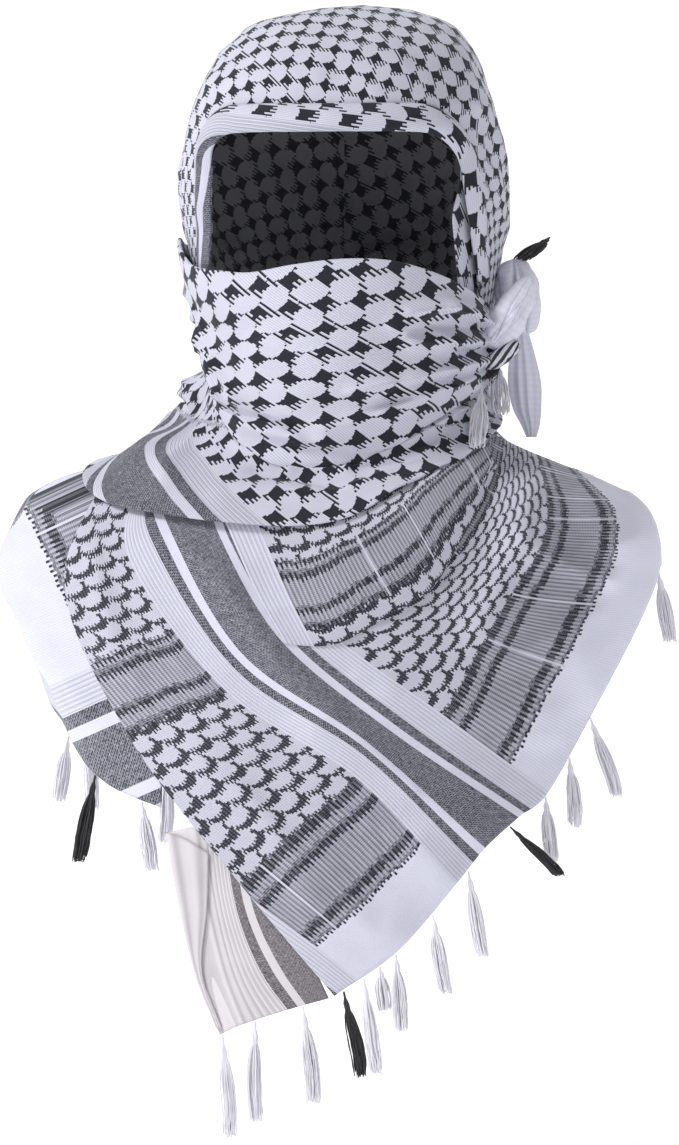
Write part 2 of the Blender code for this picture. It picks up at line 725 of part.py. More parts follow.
def grow_strand(shape, sector, start, tip, side, front, width, number):
    """Extrude one sector face twice to make a strand that swells out and ends at the tip."""
    centre = sector.calc_center_median()
    away = centre - start
    angle = 2 * math.pi * (number + 0.5) / TASSEL_STRANDS
    spread = (side * math.cos(angle) + front * math.sin(angle)) * width * 0.57
    shorter = 1 - 0.04 * (number % 3)
    run = tip - start
    stations = ((0.5, spread, 0.40 * width), (shorter, spread * 0.9, 0.32 * width))
    face = sector
    outline = [vertex.co - centre for vertex in sector.verts]
    for share, offset, scale in stations:
        moved = bmesh.ops.extrude_discrete_faces(shape, faces=[face])
        face = moved["faces"][0]
        middle = start + run * share + offset + away * 0.2
        for vertex, corner in zip(face.verts, outline):
            vertex.co = middle + corner * scale
    return face


def hem_point(kind, share, inward):
    """Point at the middle of the wall: on a hem, or a little way in from it."""
    if kind == "cape":
        turn = CAPE[0][0] + (CAPE[-1][0] - CAPE[0][0]) * share
        return ring_point(CAPE, CAPE_FOLDS, turn, 1 - inward)
    net, lift_at = (UNDER, under_lift) if kind == "under" else (DRAPE, drape_lift)
    x, drop = net_place(net, share, inward)
    lift = lift_at(x, drop, share, inward)
    return skin(*front_place(x, drop, lift), lift - WALL / 2)


def hem_spot(kind, share):
    """Spot a tassel's gap outside a hem, at a share of its length."""
    count, rows = {"cape": CAPE_STEPS, "under": UNDER_STEPS, "drape": DRAPE_STEPS}[kind]
    points = [hem_point(kind, i / count, 0.0) for i in range(count + 1)]
    lengths = [(b - a).length for a, b in zip(points, points[1:])]
    left = share * sum(lengths)
    number = 0
    while number < count - 1 and left > lengths[number]:
        left -= lengths[number]
        number += 1
    part = left / lengths[number]
    here = points[number].lerp(points[number + 1], part)
    along = (points[number + 1] - points[number]).normalized()
    out = here - hem_point(kind, (number + part) / count, 1 / rows)
    out = (out - along * out.dot(along)).normalized()
    level = math.hypot(out.x, out.y)
    return here + out * (TASSEL_GAP + TASSEL_NECK * level)


def build_tassels(collection):
    for name, hem, share, across, forward, length, colour in HEM_TASSELS:
        root = hem_spot(hem, share)
        tip = root + Vector((across, forward, -math.sqrt(length ** 2 - across ** 2 - forward ** 2)))
        build_tassel(name, root, tip, colour, collection)
    narrow = 0.65 * TASSEL_WIDTH
    for name, turn, drop, run, colour in KNOT_TASSELS:
        seat, out = knot_seat("wrap", turn, drop)
        root = seat + out * (TASSEL_NECK + 0.6 * KNOT_GAP)
        build_tassel(name, root, root + Vector(run), colour, collection, width=narrow)
    _, carrier, turn, drop, half, _, _ = KNOT_LUMPS[0]
    root = lump_centre(carrier, turn, drop, half)[0] + Vector((0, 0, half[2] + 2 * KNOT_GAP))
    build_tassel("knot_strands_top", root, root + Vector(TOP_STRANDS_RUN), "black", collection, width=narrow)


def build():
    for old in list(bpy.data.objects):
        bpy.data.objects.remove(old)
    scarf = bpy.data.collections.new("fringed_scarf")
    cutters = bpy.data.collections.new("cutters")
    bpy.context.scene.collection.children.link(scarf)
    bpy.context.scene.collection.children.link(cutters)
    build_hood(scarf, cutters)
    build_brow(scarf)
    build_cheek(scarf)
    ring_piece("face_wrap", FACE_WRAP, FACE_FOLDS, 48, 8, "houndstooth", scarf)
    ring_piece("neck_wrap", NECK_WRAP, NECK_FOLDS, 48, 8, "houndstooth", scarf)
    build_cape(scarf)
    cloth("front_drape", net_rows(DRAPE, *DRAPE_STEPS, drape_lift), "border", scarf)
    cloth("chest_swag", net_rows(SWAG, 14, 8, swag_lift), "border", scarf)
    cloth("under_panel", net_rows(UNDER, *UNDER_STEPS, under_lift), "border", scarf)
    cloth("under_fold", net_rows(UNDER_FOLD, 3, 6, under_fold_lift), "border", scarf)
    for row in KNOT_LUMPS:
        build_lump(*row, scarf)
    build_tail(scarf)
    build_tassels(scarf)


build()
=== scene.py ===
"""Looks of the fringed scarf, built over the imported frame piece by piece.

The cloth is made as it is wound: the hood with its brow and cheek folds, the face wrap,
the neck wrap, the shoulder cape, the drape with its swag and turned corner, and the knot.
Tassels follow the piece that carries them. Sizes in the tables are millimetres, a turn is
in degrees from the front, and a drop is a distance below the crown, as in the part's source.
"""
import math
from functools import partialmethod

import bmesh
import bpy
import numpy as np
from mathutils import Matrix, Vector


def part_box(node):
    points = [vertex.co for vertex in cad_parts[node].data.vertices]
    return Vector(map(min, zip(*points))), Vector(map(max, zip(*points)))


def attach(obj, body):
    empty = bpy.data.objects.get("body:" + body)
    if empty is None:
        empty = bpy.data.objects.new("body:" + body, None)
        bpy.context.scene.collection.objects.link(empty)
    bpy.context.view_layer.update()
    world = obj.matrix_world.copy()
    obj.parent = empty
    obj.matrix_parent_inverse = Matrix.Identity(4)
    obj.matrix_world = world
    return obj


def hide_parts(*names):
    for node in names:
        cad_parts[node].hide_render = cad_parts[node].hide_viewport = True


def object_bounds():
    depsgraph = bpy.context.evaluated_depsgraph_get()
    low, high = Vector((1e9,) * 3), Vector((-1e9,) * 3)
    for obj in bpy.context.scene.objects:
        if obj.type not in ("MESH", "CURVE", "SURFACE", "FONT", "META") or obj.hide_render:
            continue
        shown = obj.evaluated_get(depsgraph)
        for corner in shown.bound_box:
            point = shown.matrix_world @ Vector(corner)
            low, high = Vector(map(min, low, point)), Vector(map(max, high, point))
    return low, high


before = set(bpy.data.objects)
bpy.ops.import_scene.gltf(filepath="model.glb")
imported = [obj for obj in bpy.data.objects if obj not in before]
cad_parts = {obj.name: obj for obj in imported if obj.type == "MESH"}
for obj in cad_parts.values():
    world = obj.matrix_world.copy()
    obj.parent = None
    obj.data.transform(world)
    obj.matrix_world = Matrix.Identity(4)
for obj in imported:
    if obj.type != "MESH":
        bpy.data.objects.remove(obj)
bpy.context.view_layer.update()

# Hood. One layer of thin woven cotton laid over the crown and the back of the head, open
# at the face. Its outer face follows the general figure that the solids lie on, and its
# pattern turns once round a point behind the crown, where the wrap is gathered.
MM = 0.001
WALL = 1.2
BOXINESS = 2.2
ARC_PER_DEGREE = 1.75
FIGURE = (
    (2, 13, 36, 28, 36), (10, 50, 61, 46, 60), (20, 64, 72, 61, 75), (35, 77, 81, 78, 91),
    (64, 91, 89, 93, 104), (97, 95, 93, 100, 110), (136, 93, 95, 102, 108), (160, 90, 92, 101, 102),
    (178, 83, 89, 98, 96), (194, 77, 86, 95, 91), (210, 74, 83, 93, 86), (235, 76, 81, 91, 82),
    (250, 82, 85, 91, 83), (262, 96, 97, 92, 84), (270, 112, 110, 93, 87), (276, 130, 122, 95, 90),
    (282, 156, 134, 97, 93), (288, 174, 148, 101, 97), (296, 187, 168, 107, 101),
    (306, 193, 181, 115, 106), (322, 197, 187, 122, 110), (340, 198, 188, 128, 113),
    (364, 195, 187, 134, 116), (406, 176, 177, 140, 119), (440, 164, 166, 143, 120),
    (520, 160, 160, 146, 121), (620, 158, 158, 148, 122),
)
HOOD_LIFT = 2.0
HOOD_END = 240.0
# Creases: both ends as arc and drop, then height and half width
HOOD_FOLDS = (
    (-120, 48, -20, 44, 2, 9), (115, 105, 158, 182, 4, 9), (128, 85, 170, 150, 3, 10),
    (100, 48, 158, 96, 3, 14), (-60, 24, 40, 34, 2, 12), (-160, 100, -178, 150, 3, 10),
    (200, 60, 230, 170, 5, 18), (290, 50, 285, 190, 5, 18), (-235, 80, -240, 180, 5, 16),
)
HOOD_FINE_FOLDS = (
    (20, 57, 112, 64, 1.5, 4), (-30, 50, 60, 49, 1.0, 4), (95, 60, 132, 92, 1.6, 4),
    (118, 88, 138, 132, 1.4, 4), (138, 96, 150, 150, 1.5, 5), (150, 60, 176, 120, 1.3, 6),
    (-130, 70, -150, 138, 1.4, 5), (-150, 30, -90, 22, 1.2, 6), (30, 14, 110, 28, 1.2, 7),
    (230, 40, 262, 120, 2.0, 7), (-262, 50, -200, 130, 2.0, 7), (310, 70, 300, 150, 1.8, 6),
)
EYE_LEFT, EYE_RIGHT_TOP, EYE_RIGHT_LOW = -79.0, 70.0, 79.0
EYE_TOP, EYE_SIDE_END, EYE_END = 76.0, 166.0, 184.0
EYE_LEFT_CORNER, EYE_RIGHT_CORNER = 15.0, 27.0


def blend(rows, place):
    """Read the columns of a table at places on its first column, on a smooth curve."""
    columns = [row[1] if len(row) == 2 else row[1:] for row in rows]
    return curve_through([row[0] for row in rows], columns, place)


def curve_through(keys, values, place):
    """Values at places on a smooth curve that passes through the values given at the keys."""
    keys, values = np.array(keys, float), np.array(values, float)
    if keys[0] > keys[-1]:
        keys, values = keys[::-1], values[::-1]
    place = np.asarray(place, float)
    last = len(keys) - 1
    low = np.clip(np.searchsorted(keys, place, side="right") - 1, 0, last - 1)
    high, before, after = low + 1, np.maximum(low - 1, 0), np.minimum(low + 2, last)

    def wide(numbers):
        return numbers.reshape(numbers.shape + (1,) * (values.ndim - 1))

    span = keys[high] - keys[low]
    t = wide((place - keys[low]) / span)
    slope_in = (values[high] - values[before]) * wide(span / (keys[high] - keys[before]))
    slope_out = (values[after] - values[low]) * wide(span / (keys[after] - keys[low]))
    rise = values[high] - values[low]
    bend = (slope_in + slope_out - 2 * rise) * t + 3 * rise - 2 * slope_in - slope_out
    return (bend * t + slope_in) * t + values[low]


def turn_at(x, drop):
    """Turn at which the front of the figure has this x."""
    left, right, front, _ = np.moveaxis(blend(FIGURE, drop), -1, 0)
    side = np.where(x >= 0, right, left)
    ratio = np.minimum(abs(x) / side, 0.985)
    depth = front * (1 - ratio ** BOXINESS) ** (1 / BOXINESS)
    return np.degrees(np.arctan2(np.copysign(ratio * side, x), depth))


def figure_point(turn, drop):
    """Points of the general figure at turns in degrees from the front and drops."""
    left, right, front, back = np.moveaxis(blend(FIGURE, drop), -1, 0)
    across, forward = np.sin(np.radians(turn)), np.cos(np.radians(turn))
    side = np.where(across >= 0, right, left)
    depth = np.where(forward >= 0, front, back)
    radius = ((abs(across) / side) ** BOXINESS + (abs(forward) / depth) ** BOXINESS) ** (-1 / BOXINESS)
    return np.stack((radius * across, -radius * forward, -drop + 0 * radius), -1)


def unit(vectors):
    """Vectors of length one with the same ways."""
    return vectors / np.maximum(np.linalg.norm(vectors, axis=-1, keepdims=True), 1e-9)


def skin(turn, drop, lift):
    """Points lifted off the figure along its normal."""
    round_step = figure_point(turn + 0.5, drop) - figure_point(turn - 0.5, drop)
    down_step = figure_point(turn, drop + 0.4) - figure_point(turn, drop - 0.4)
    out = -unit(np.cross(round_step, down_step))
    return figure_point(turn, drop) + out * np.asarray(lift)[..., None]


def fold_lift(folds, a, b):
    """Sum of the soft ridges of a fold table at places a, b; narrow ones have sharper tops."""
    total = np.zeros(np.broadcast(a, b).shape)
    for a1, b1, a2, b2, height, width in folds:
        run_a, run_b = a2 - a1, b2 - b1
        t = np.clip(((a - a1) * run_a + (b - b1) * run_b) / (run_a ** 2 + run_b ** 2), 0, 1)
        gap = np.hypot(a - a1 - t * run_a, b - b1 - t * run_b)
        total += height * np.exp(-(gap / width) ** (2 if width > 5.5 else 1.4))
    return total


def fade(value, start, end):
    """Smooth step from 0 at start to 1 at end."""
    t = np.clip((value - start) / (end - start), 0, 1)
    return t * t * (3 - 2 * t)


def ripple(a, b, seed, height, shortest=26, longest=95):
    """Slight unevenness of soft cloth, as a sum of waves in several directions."""
    dice = np.random.default_rng(seed)
    total = 0.0
    for _ in range(12):
        wave = dice.uniform(shortest, longest)
        heading = dice.uniform(0, math.pi)
        place = a * math.cos(heading) + b * math.sin(heading)
        total = total + np.sin(2 * math.pi * place / wave + dice.uniform(0, 7)) * wave / longest
    return total * height / 3


def ring_ripple(turn, drop, seed, height):
    """The same for a ring of cloth, brought to the same height where the ring closes."""
    arc = turn * ARC_PER_DEGREE
    close = fade(turn, 120, 180)
    again = ripple(arc - 360 * ARC_PER_DEGREE, drop, seed, height)
    return ripple(arc, drop, seed, height) * (1 - close) + again * close


def sheet_mesh(name, points, weave_place, closed=False, material=None, wall=WALL, inside=None):
    """Sheet of cloth on a grid of points, outer face first, with its place in the weave as UV."""
    rows, columns, _ = points.shape
    mesh = bpy.data.meshes.new(name)
    index = np.arange(rows * columns).reshape(rows, columns)
    faces = np.stack((index[:-1, :-1], index[1:, :-1], index[1:, 1:], index[:-1, 1:]), -1).reshape(-1, 4)
    mesh.from_pydata((points.reshape(-1, 3) * MM).tolist(), [], faces.tolist())
    layer = mesh.uv_layers.new(name="weave")
    layer.data.foreach_set("uv", (weave_place.reshape(-1, 2)[faces.ravel()] * MM).ravel())
    mesh.polygons.foreach_set("use_smooth", [True] * len(faces))
    if closed:
        shape = bmesh.new()
        shape.from_mesh(mesh)
        seam = [v for v in shape.verts if v.is_boundary]
        bmesh.ops.remove_doubles(shape, verts=seam, dist=0.00002)
        shape.to_mesh(mesh)
        shape.free()
    piece = bpy.data.objects.new(name, mesh)
    bpy.context.scene.collection.objects.link(piece)
    mesh.materials.append(material)
    if inside:
        mesh.materials.append(inside)
    if wall:
        cloth_wall = piece.modifiers.new("cloth wall", "SOLIDIFY")
        cloth_wall.thickness = wall * MM
        cloth_wall.offset = -1.0
        cloth_wall.use_quality_normals = True
        if inside:
            cloth_wall.material_offset = 1
    return piece


def turn_under(points, weave_place, side, radius, depth, steps=7):
    """Fold a side of a sheet (0 first row, 1 right, 2 last row, 3 left) round to its inner face."""
    points, weave_place = np.rot90(points, side), np.rot90(weave_place, side)
    edge, run = points[0], unit(points[0] - points[2])
    out = unit(np.cross(np.gradient(edge, axis=0), run))
    centre = edge - out * radius
    extra, lengths = [], []
    for step in range(1, steps + 1):
        angle = math.pi * step / steps
        extra.append(centre + out * radius * math.cos(angle) + run * radius * math.sin(angle))
        lengths.append(radius * angle)
    for share in (0.35, 0.7, 1.0):
        extra.append(centre - out * radius - run * depth * share)
        lengths.append(radius * math.pi + depth * share)
    heading = weave_place[0] - weave_place[2]
    heading = heading / np.maximum(np.linalg.norm(heading, axis=-1, keepdims=True), 1e-9)
    places = [weave_place[0] + heading * length for length in lengths]
    points = np.concatenate((np.array(extra)[::-1], points))
    weave_place = np.concatenate((np.array(places)[::-1], weave_place))
    return np.rot90(points, -side), np.rot90(weave_place, -side)


# The weave: a houndstooth field, and a border of barred rows, rows of waves and striped
# bands. Every edge in it steps from yarn to yarn, because it is woven, not printed.
# Places in it are millimetres: u runs across the warp yarns, v is the distance from the hem
YARN, WAVE_YARN = 1.25, 0.9
WEFT, BAR_WEFT, WAVE_WEFT = 1.1, 1.3, 1.4
HEM_END, BARS_END, WAVES_END, BARS_2_END, FIELD_START = 35.0, 95.0, 186.0, 235.0, 340.0
DARK_ROWS = ((HEM_END, 37.0), (41.5, 48), (75, 81), (88, BARS_END), (WAVES_END, 190.5), (198, 203),
             (222, 227.5), (231, BARS_2_END))
LOOSE_WHITE_YARNS = 0.05
# Bands along the warp: how far apart, and the distances from a band's middle line to its edge,
# to the edge of its broad stripe, to both edges of a side stripe and to its ribbed margin
BAND_PERIOD, BAND_HALF, STRIPE_HALF, SIDE_STRIPE, MARGIN_START = 173.0, 44.0, 15.0, (21.0, 27.5), 28.0
WAVE_ROW, WAVE_PITCH, WAVE_LEAN = 11.4, 15.0, 0.16
# Cells of the field, their half widths as shares of their pitch, and how far the stars reach
CELL, CELL_BULGE = 17.4, 1.75
CELL_LONG, CELL_FLAT, NEXT_LONG, NEXT_TALL, TALL_CHANGE = 0.515, 0.385, 0.40, 0.50, 0.115
STAR_EDGE, STAR_HATCH, STAR_RAGGED = 0.96, 0.34, 0.36
# Distance from the hem at which the pieces of the field are laid out, well inside it
FIELD_PLACE = 2000.0


class Weave:
    """A number that varies over the cloth, worked out by Math nodes in one shader group."""

    def __init__(self, tree, socket):
        self.tree = tree
        self.socket = socket

    def calc(self, operation, *others):
        """Result of one Math node with this number as its first input."""
        node = self.tree.nodes.new("ShaderNodeMath")
        node.operation = operation
        for socket, value in zip(node.inputs, (self, *others)):
            if isinstance(value, Weave):
                self.tree.links.new(value.socket, socket)
            else:
                socket.default_value = value
        return Weave(self.tree, node.outputs[0])

    __add__ = __radd__ = partialmethod(calc, "ADD")
    __mul__ = __rmul__ = partialmethod(calc, "MULTIPLY")
    __sub__ = partialmethod(calc, "SUBTRACT")
    __rsub__ = partialmethod(calc, "MULTIPLY_ADD", -1.0)
    __truediv__ = partialmethod(calc, "DIVIDE")
    __mod__ = partialmethod(calc, "FLOORED_MODULO")
    __pow__ = partialmethod(calc, "POWER")
    __lt__ = partialmethod(calc, "LESS_THAN")
    __gt__ = partialmethod(calc, "GREATER_THAN")
    __abs__ = partialmethod(calc, "ABSOLUTE")

    def between(self, low, high):
        """1 where this lies between two numbers, and 0 elsewhere."""
        return (self > low) * (self < high)

    def wave(self, length):
        """Sine of this many millimetres, from 0 to 1."""
        return (self * (2 * math.pi / length)).calc("SINE") * 0.5 + 0.5

    def noise(self, other, length, other_length):
        """Soft noise over two numbers, with its usual size along each."""
        join = self.tree.nodes.new("ShaderNodeCombineXYZ")
        self.tree.links.new((self / length).socket, join.inputs[0])
        self.tree.links.new((other / other_length).socket, join.inputs[1])
        cloud = self.tree.nodes.new("ShaderNodeTexNoise")
        cloud.inputs["Scale"].default_value = 1.0
        cloud.inputs["Detail"].default_value = 2.0
        self.tree.links.new(join.outputs[0], cloud.inputs["Vector"])
        return Weave(self.tree, cloud.outputs[0])

    def chance(self):
        """One even random number from 0 to 1 for each value of this one."""
        dice = self.tree.nodes.new("ShaderNodeTexWhiteNoise")
        dice.noise_dimensions = "1D"
        self.tree.links.new(self.socket, dice.inputs["W"])
        return Weave(self.tree, dice.outputs["Value"])


def houndstooth(across, along):
    """Dark stars between rounded cells that are long and flat, or tall, by turns."""
    p = (across + along) / (CELL * math.sqrt(2))
    q = (along - across) / (CELL * math.sqrt(2))
    p_cell, q_cell = p.calc("FLOOR"), q.calc("FLOOR")
    tall = (p_cell + q_cell) % 2.0
    x, y = abs(p - p_cell - 0.5), abs(q - q_cell - 0.5)
    own_x, own_y = CELL_LONG - tall * TALL_CHANGE, tall * TALL_CHANGE + CELL_FLAT
    next_x, next_y = tall * TALL_CHANGE + NEXT_LONG, NEXT_TALL - tall * TALL_CHANGE
    own = (x / own_x) ** CELL_BULGE + (y / own_y) ** CELL_BULGE
    beside = ((1.0 - x) / next_x) ** CELL_BULGE + (y / next_y) ** CELL_BULGE
    above = (x / next_x) ** CELL_BULGE + ((1.0 - y) / next_y) ** CELL_BULGE
    return own.calc("MINIMUM", beside).calc("MINIMUM", above)


def wave_rows(across, along):
    """Rows of scallops whose spiked ends reach toward the next row, half a scallop on."""
    rows = along / WAVE_ROW
    row = rows.calc("FLOOR")
    up = rows - row
    side = (across / WAVE_PITCH + (row % 2.0) * 0.5 + up * WAVE_LEAN) % 1.0 - 0.5
    lean = abs(side)
    curve = (1.0 - (1.0 - (lean * 1.96) ** 2.0).calc("SQRT")) * 0.50 + 0.16
    line = abs(up - curve) < (side * 0.15 + 0.185)
    spike = (side > 0.37) * (up > curve) * (up < 0.90)
    return line.calc("MAXIMUM", spike)


def build_weave():
    """Shader group that turns a place in the weave into dark yarn, tone and height."""
    tree = bpy.data.node_groups.new("scarf_weave", "ShaderNodeTree")
    for name, way, kind in (("Place", "INPUT", "Vector"), ("Last band", "INPUT", "Float"),
                            ("Dark", "OUTPUT", "Float"), ("Tone", "OUTPUT", "Float"),
                            ("Height", "OUTPUT", "Float")):
        tree.interface.new_socket(name=name, in_out=way, socket_type="NodeSocket" + kind)
    start = tree.nodes.new("NodeGroupInput")
    end = tree.nodes.new("NodeGroupOutput")
    split = tree.nodes.new("ShaderNodeSeparateXYZ")
    tree.links.new(start.outputs["Place"], split.inputs[0])
    u = Weave(tree, split.outputs[0]) * 1000.0
    v = Weave(tree, split.outputs[1]) * 1000.0
    last_band = Weave(tree, start.outputs["Last band"])

    yarn = (u / YARN).calc("FLOOR")
    chance = yarn.chance()
    odd = yarn % 2.0
    snapped = (yarn + 0.5) * YARN
    tooth = v + (odd - 0.5) * 1.6 + (chance - 0.5) * 2.4

    field = houndstooth(snapped, tooth)
    stars = field > (odd * STAR_HATCH + STAR_EDGE + (chance - 0.5) * STAR_RAGGED)
    thin = (u / WAVE_YARN).calc("FLOOR")
    thin_odd = thin % 2.0
    thin_tooth = v + (thin_odd - 0.5) * 1.3 + (thin.chance() - 0.5) * 1.6
    waves = wave_rows((thin + 0.5) * WAVE_YARN, thin_tooth) * (thin_odd * 0.12 + 0.84)

    rows = tooth.between(*DARK_ROWS[0])
    for low, high in DARK_ROWS[1:]:
        rows = rows + tooth.between(low, high)
    in_bars = tooth.between(HEM_END, BARS_END) + tooth.between(WAVES_END, BARS_2_END)
    pick = u.noise(v, 1.2, 16.0)
    ground = v.wave(BAR_WEFT) * 0.22 + (odd * 0.30 + 0.28) + (pick - 0.5) * 0.4
    bars = rows * (0.42 + (pick - 0.5)) + ground
    bars = bars * (1.0 - (chance > 1 - LOOSE_WHITE_YARNS) * 0.85)

    in_waves = tooth.between(BARS_END, WAVES_END) + tooth.between(BARS_2_END, FIELD_START)
    block = in_bars * bars + in_waves * (waves + v.wave(WAVE_WEFT) * 0.10) + (tooth > FIELD_START) * stars

    number = (u / BAND_PERIOD + 0.5).calc("FLOOR")
    off = abs(u - number * BAND_PERIOD)
    in_band = (off < BAND_HALF) * ((number * BAND_PERIOD) < last_band)
    streak = u.noise(v, 4.0, 0.9) * 0.5 + u.noise(v, 0.8, 5.0) * 0.5
    heather = (streak - 0.5) * 1.5 + 0.78 + ((u + v).wave(2.1) * v.wave(1.2) - 0.25) * 0.55
    stripe = (off < STRIPE_HALF) + off.between(*SIDE_STRIPE) * 1.06
    dark = in_band * stripe * heather + (1.0 - in_band) * block
    dark = dark.calc("MINIMUM", 1.0).calc("MAXIMUM", 0.0)

    rib = u.wave(YARN)
    weft = v.wave(WEFT)
    margin = off.between(MARGIN_START, BAND_HALF) * in_band * off.wave(2.3)
    mottle = u.noise(v, 34.0, 41.0)
    in_field = v > FIELD_START
    shade = margin * 0.26 + in_waves * (1.0 - in_band) * 0.15 + in_field * 0.04
    tone = 1.0 - rib * (in_field * 0.16 + 0.09) - weft * 0.05 - shade - abs(mottle - 0.5) * 0.18
    height = rib * 0.6 + weft * 0.4 + dark * 0.5
    tree.links.new(dark.socket, end.inputs["Dark"])
    tree.links.new(tone.socket, end.inputs["Tone"])
    tree.links.new(height.socket, end.inputs["Height"])
    return tree


scarf_weave = build_weave()
NO_BANDS, ONE_BAND, ALL_BANDS = -10000.0, 100.0, 100000.0
WHITE_YARN = (0.74, 0.745, 0.875)
BLACK_YARN = (0.022, 0.025, 0.036)


def woven_cotton(name, last_band=NO_BANDS, white=WHITE_YARN, black=BLACK_YARN):
    """Matt cotton with the scarf's weave, its bands drawn up to last_band."""
    material = bpy.data.materials.new(name)
    material.use_nodes = True
    nodes, links = material.node_tree.nodes, material.node_tree.links
    shader = nodes["Principled BSDF"]
    place = nodes.new("ShaderNodeUVMap")
    place.uv_map = "weave"
    weave = nodes.new("ShaderNodeGroup")
    weave.node_tree = scarf_weave
    weave.inputs["Last band"].default_value = last_band
    links.new(place.outputs[0], weave.inputs["Place"])
    yarns = nodes.new("ShaderNodeMix")
    yarns.data_type = "RGBA"
    yarns.inputs["A"].default_value = (*white, 1)
    yarns.inputs["B"].default_value = (*black, 1)
    links.new(weave.outputs["Dark"], yarns.inputs["Factor"])
    shaded = nodes.new("ShaderNodeVectorMath")
    shaded.operation = "SCALE"
    links.new(yarns.outputs["Result"], shaded.inputs[0])
    links.new(weave.outputs["Tone"], shaded.inputs["Scale"])
    links.new(shaded.outputs[0], shader.inputs["Base Color"])
    relief = nodes.new("ShaderNodeBump")
    relief.inputs["Strength"].default_value = 0.35
    relief.inputs["Distance"].default_value = 0.0004
    links.new(weave.outputs["Height"], relief.inputs["Height"])
    links.new(relief.outputs[0], shader.inputs["Normal"])
    shader.inputs["Roughness"].default_value = 0.88
    shader.inputs["Specular IOR Level"].default_value = 0.25
    shader.inputs["Sheen Weight"].default_value = 0.12
    return material


def hood_lift(turn, drop):
    """Lift of the hood's outer face: its creases fade under the face wrap."""
    folds = HOOD_FOLDS + HOOD_FINE_FOLDS
    crease = sum(fold_lift(folds, (turn + full) * ARC_PER_DEGREE, drop) for full in (-360, 0, 360))
    crease = crease + ring_ripple(turn, drop, 3, 1.1) * fade(drop, 20, 80)
    return HOOD_LIFT + crease * fade(drop, 10, 30) * (1 - fade(drop, 132, 146))


def eye_outline(count):
    """Stations round the eye opening, left to right: x, drop and the way out of it."""
    left_top, right_top = EYE_TOP + EYE_LEFT_CORNER, EYE_TOP + EYE_RIGHT_CORNER
    path = [(EYE_LEFT, EYE_SIDE_END, -1, 0), (EYE_LEFT, left_top + 20, -1, 0)]
    for angle in np.linspace(0, math.pi / 2, 9):
        path.append((EYE_LEFT + EYE_LEFT_CORNER * (1 - math.cos(angle)),
                     left_top - EYE_LEFT_CORNER * math.sin(angle), -math.cos(angle), math.sin(angle)))
    for angle in np.linspace(0, math.pi / 2, 9):
        path.append((EYE_RIGHT_TOP - EYE_RIGHT_CORNER * (1 - math.sin(angle)),
                     right_top - EYE_RIGHT_CORNER * math.cos(angle), math.sin(angle), math.cos(angle)))
    path.append((EYE_RIGHT_LOW, EYE_SIDE_END, 1, 0))
    path = np.array(path, float)
    length = np.concatenate(([0], np.cumsum(np.hypot(*np.diff(path[:, :2], axis=0).T))))
    even = np.linspace(0, length[-1], count)
    return np.stack([np.interp(even, length, column) for column in path.T], -1), even


def in_polygon(x, y, corners):
    """True where a place lies inside a closed outline."""
    inside = np.zeros(x.shape, bool)
    for (x1, y1), (x2, y2) in zip(corners, np.roll(corners, -1, axis=0)):
        crosses = (y1 > y) != (y2 > y)
        inside ^= crosses & (x < (x2 - x1) * (y - y1) / (y2 - y1 + 1e-12) + x1)
    return inside


def open_eyes(piece):
    """Cut the eye opening out of the hood and bring the cut edge onto its outline."""
    stations, _ = eye_outline(160)
    corners = np.concatenate(([(EYE_LEFT, EYE_END)], stations[:, :2], [(EYE_RIGHT_LOW, EYE_END)]))
    shape = bmesh.new()
    shape.from_mesh(piece.data)
    centres = np.array([face.calc_center_median() for face in shape.faces]) / MM
    cut = in_polygon(centres[:, 0], -centres[:, 2], corners) & (centres[:, 1] < 0)
    gone = [face for face, hole in zip(shape.faces, cut) if hole]
    rim = {vertex for face in gone for vertex in face.verts}
    bmesh.ops.delete(shape, geom=gone, context="FACES")
    sides = zip(corners, np.roll(corners, -1, axis=0))
    dense = np.concatenate([np.linspace(start, end, 12, endpoint=False) for start, end in sides])
    for vertex in rim:
        if vertex.is_valid:
            place = np.array((vertex.co.x, -vertex.co.z)) / MM
            near = dense[np.argmin(np.hypot(*(dense - place).T))]
            turn = turn_at(near[0], near[1])
            vertex.co = skin(turn, near[1], hood_lift(turn, near[1])) * MM
    shape.to_mesh(piece.data)
    shape.free()


def hood_place(points, pole_lean=15.0, open_share=0.55, size=285.0, yarn_angle=60.0):
    """Place in the weave on the dome of the hood, even in scale away from its pole."""
    way = unit((points - np.array((0, -2, -100))) / np.array((94, 104, 98)))
    lean = math.radians(pole_lean)
    pole = np.array((0, math.sin(lean), math.cos(lean)))
    front = np.array((0, -math.cos(lean), math.sin(lean)))
    angle = np.arccos(np.clip(way @ pole, -1, 1))
    heading = np.arctan2(way[..., 0], way @ front)
    seam = np.abs(heading) > math.pi - 0.02
    side = np.sign(np.linspace(-1, 1, points.shape[1]))[None, :] + 0 * heading
    heading = np.where(seam, np.abs(heading) * side, heading)
    reach = size * np.tan(angle / 2) ** open_share
    right, down = reach * np.sin(open_share * heading), reach * np.cos(open_share * heading)
    return yarn_turned(right, down, yarn_angle)


def yarn_turned(right, down, angle):
    """Place in the houndstooth field whose yarns run down to the right at an angle."""
    c, s = math.cos(math.radians(angle)), math.sin(math.radians(angle))
    return np.stack((right * s - down * c, right * c + down * s + FIELD_PLACE), -1)


houndstooth_cotton = woven_cotton("houndstooth_cotton")
# The hood's inner face is the same cloth as its outer face. Its darker white and black are painted shade for
# the inside seen through the eye opening.
PAINTED_SHADE_INSIDE_WHITE, PAINTED_SHADE_INSIDE_BLACK = (0.31, 0.312, 0.335), (0.045, 0.045, 0.052)
painted_shade_inside = woven_cotton("painted_shade_inner_face", white=PAINTED_SHADE_INSIDE_WHITE, black=PAINTED_SHADE_INSIDE_BLACK)

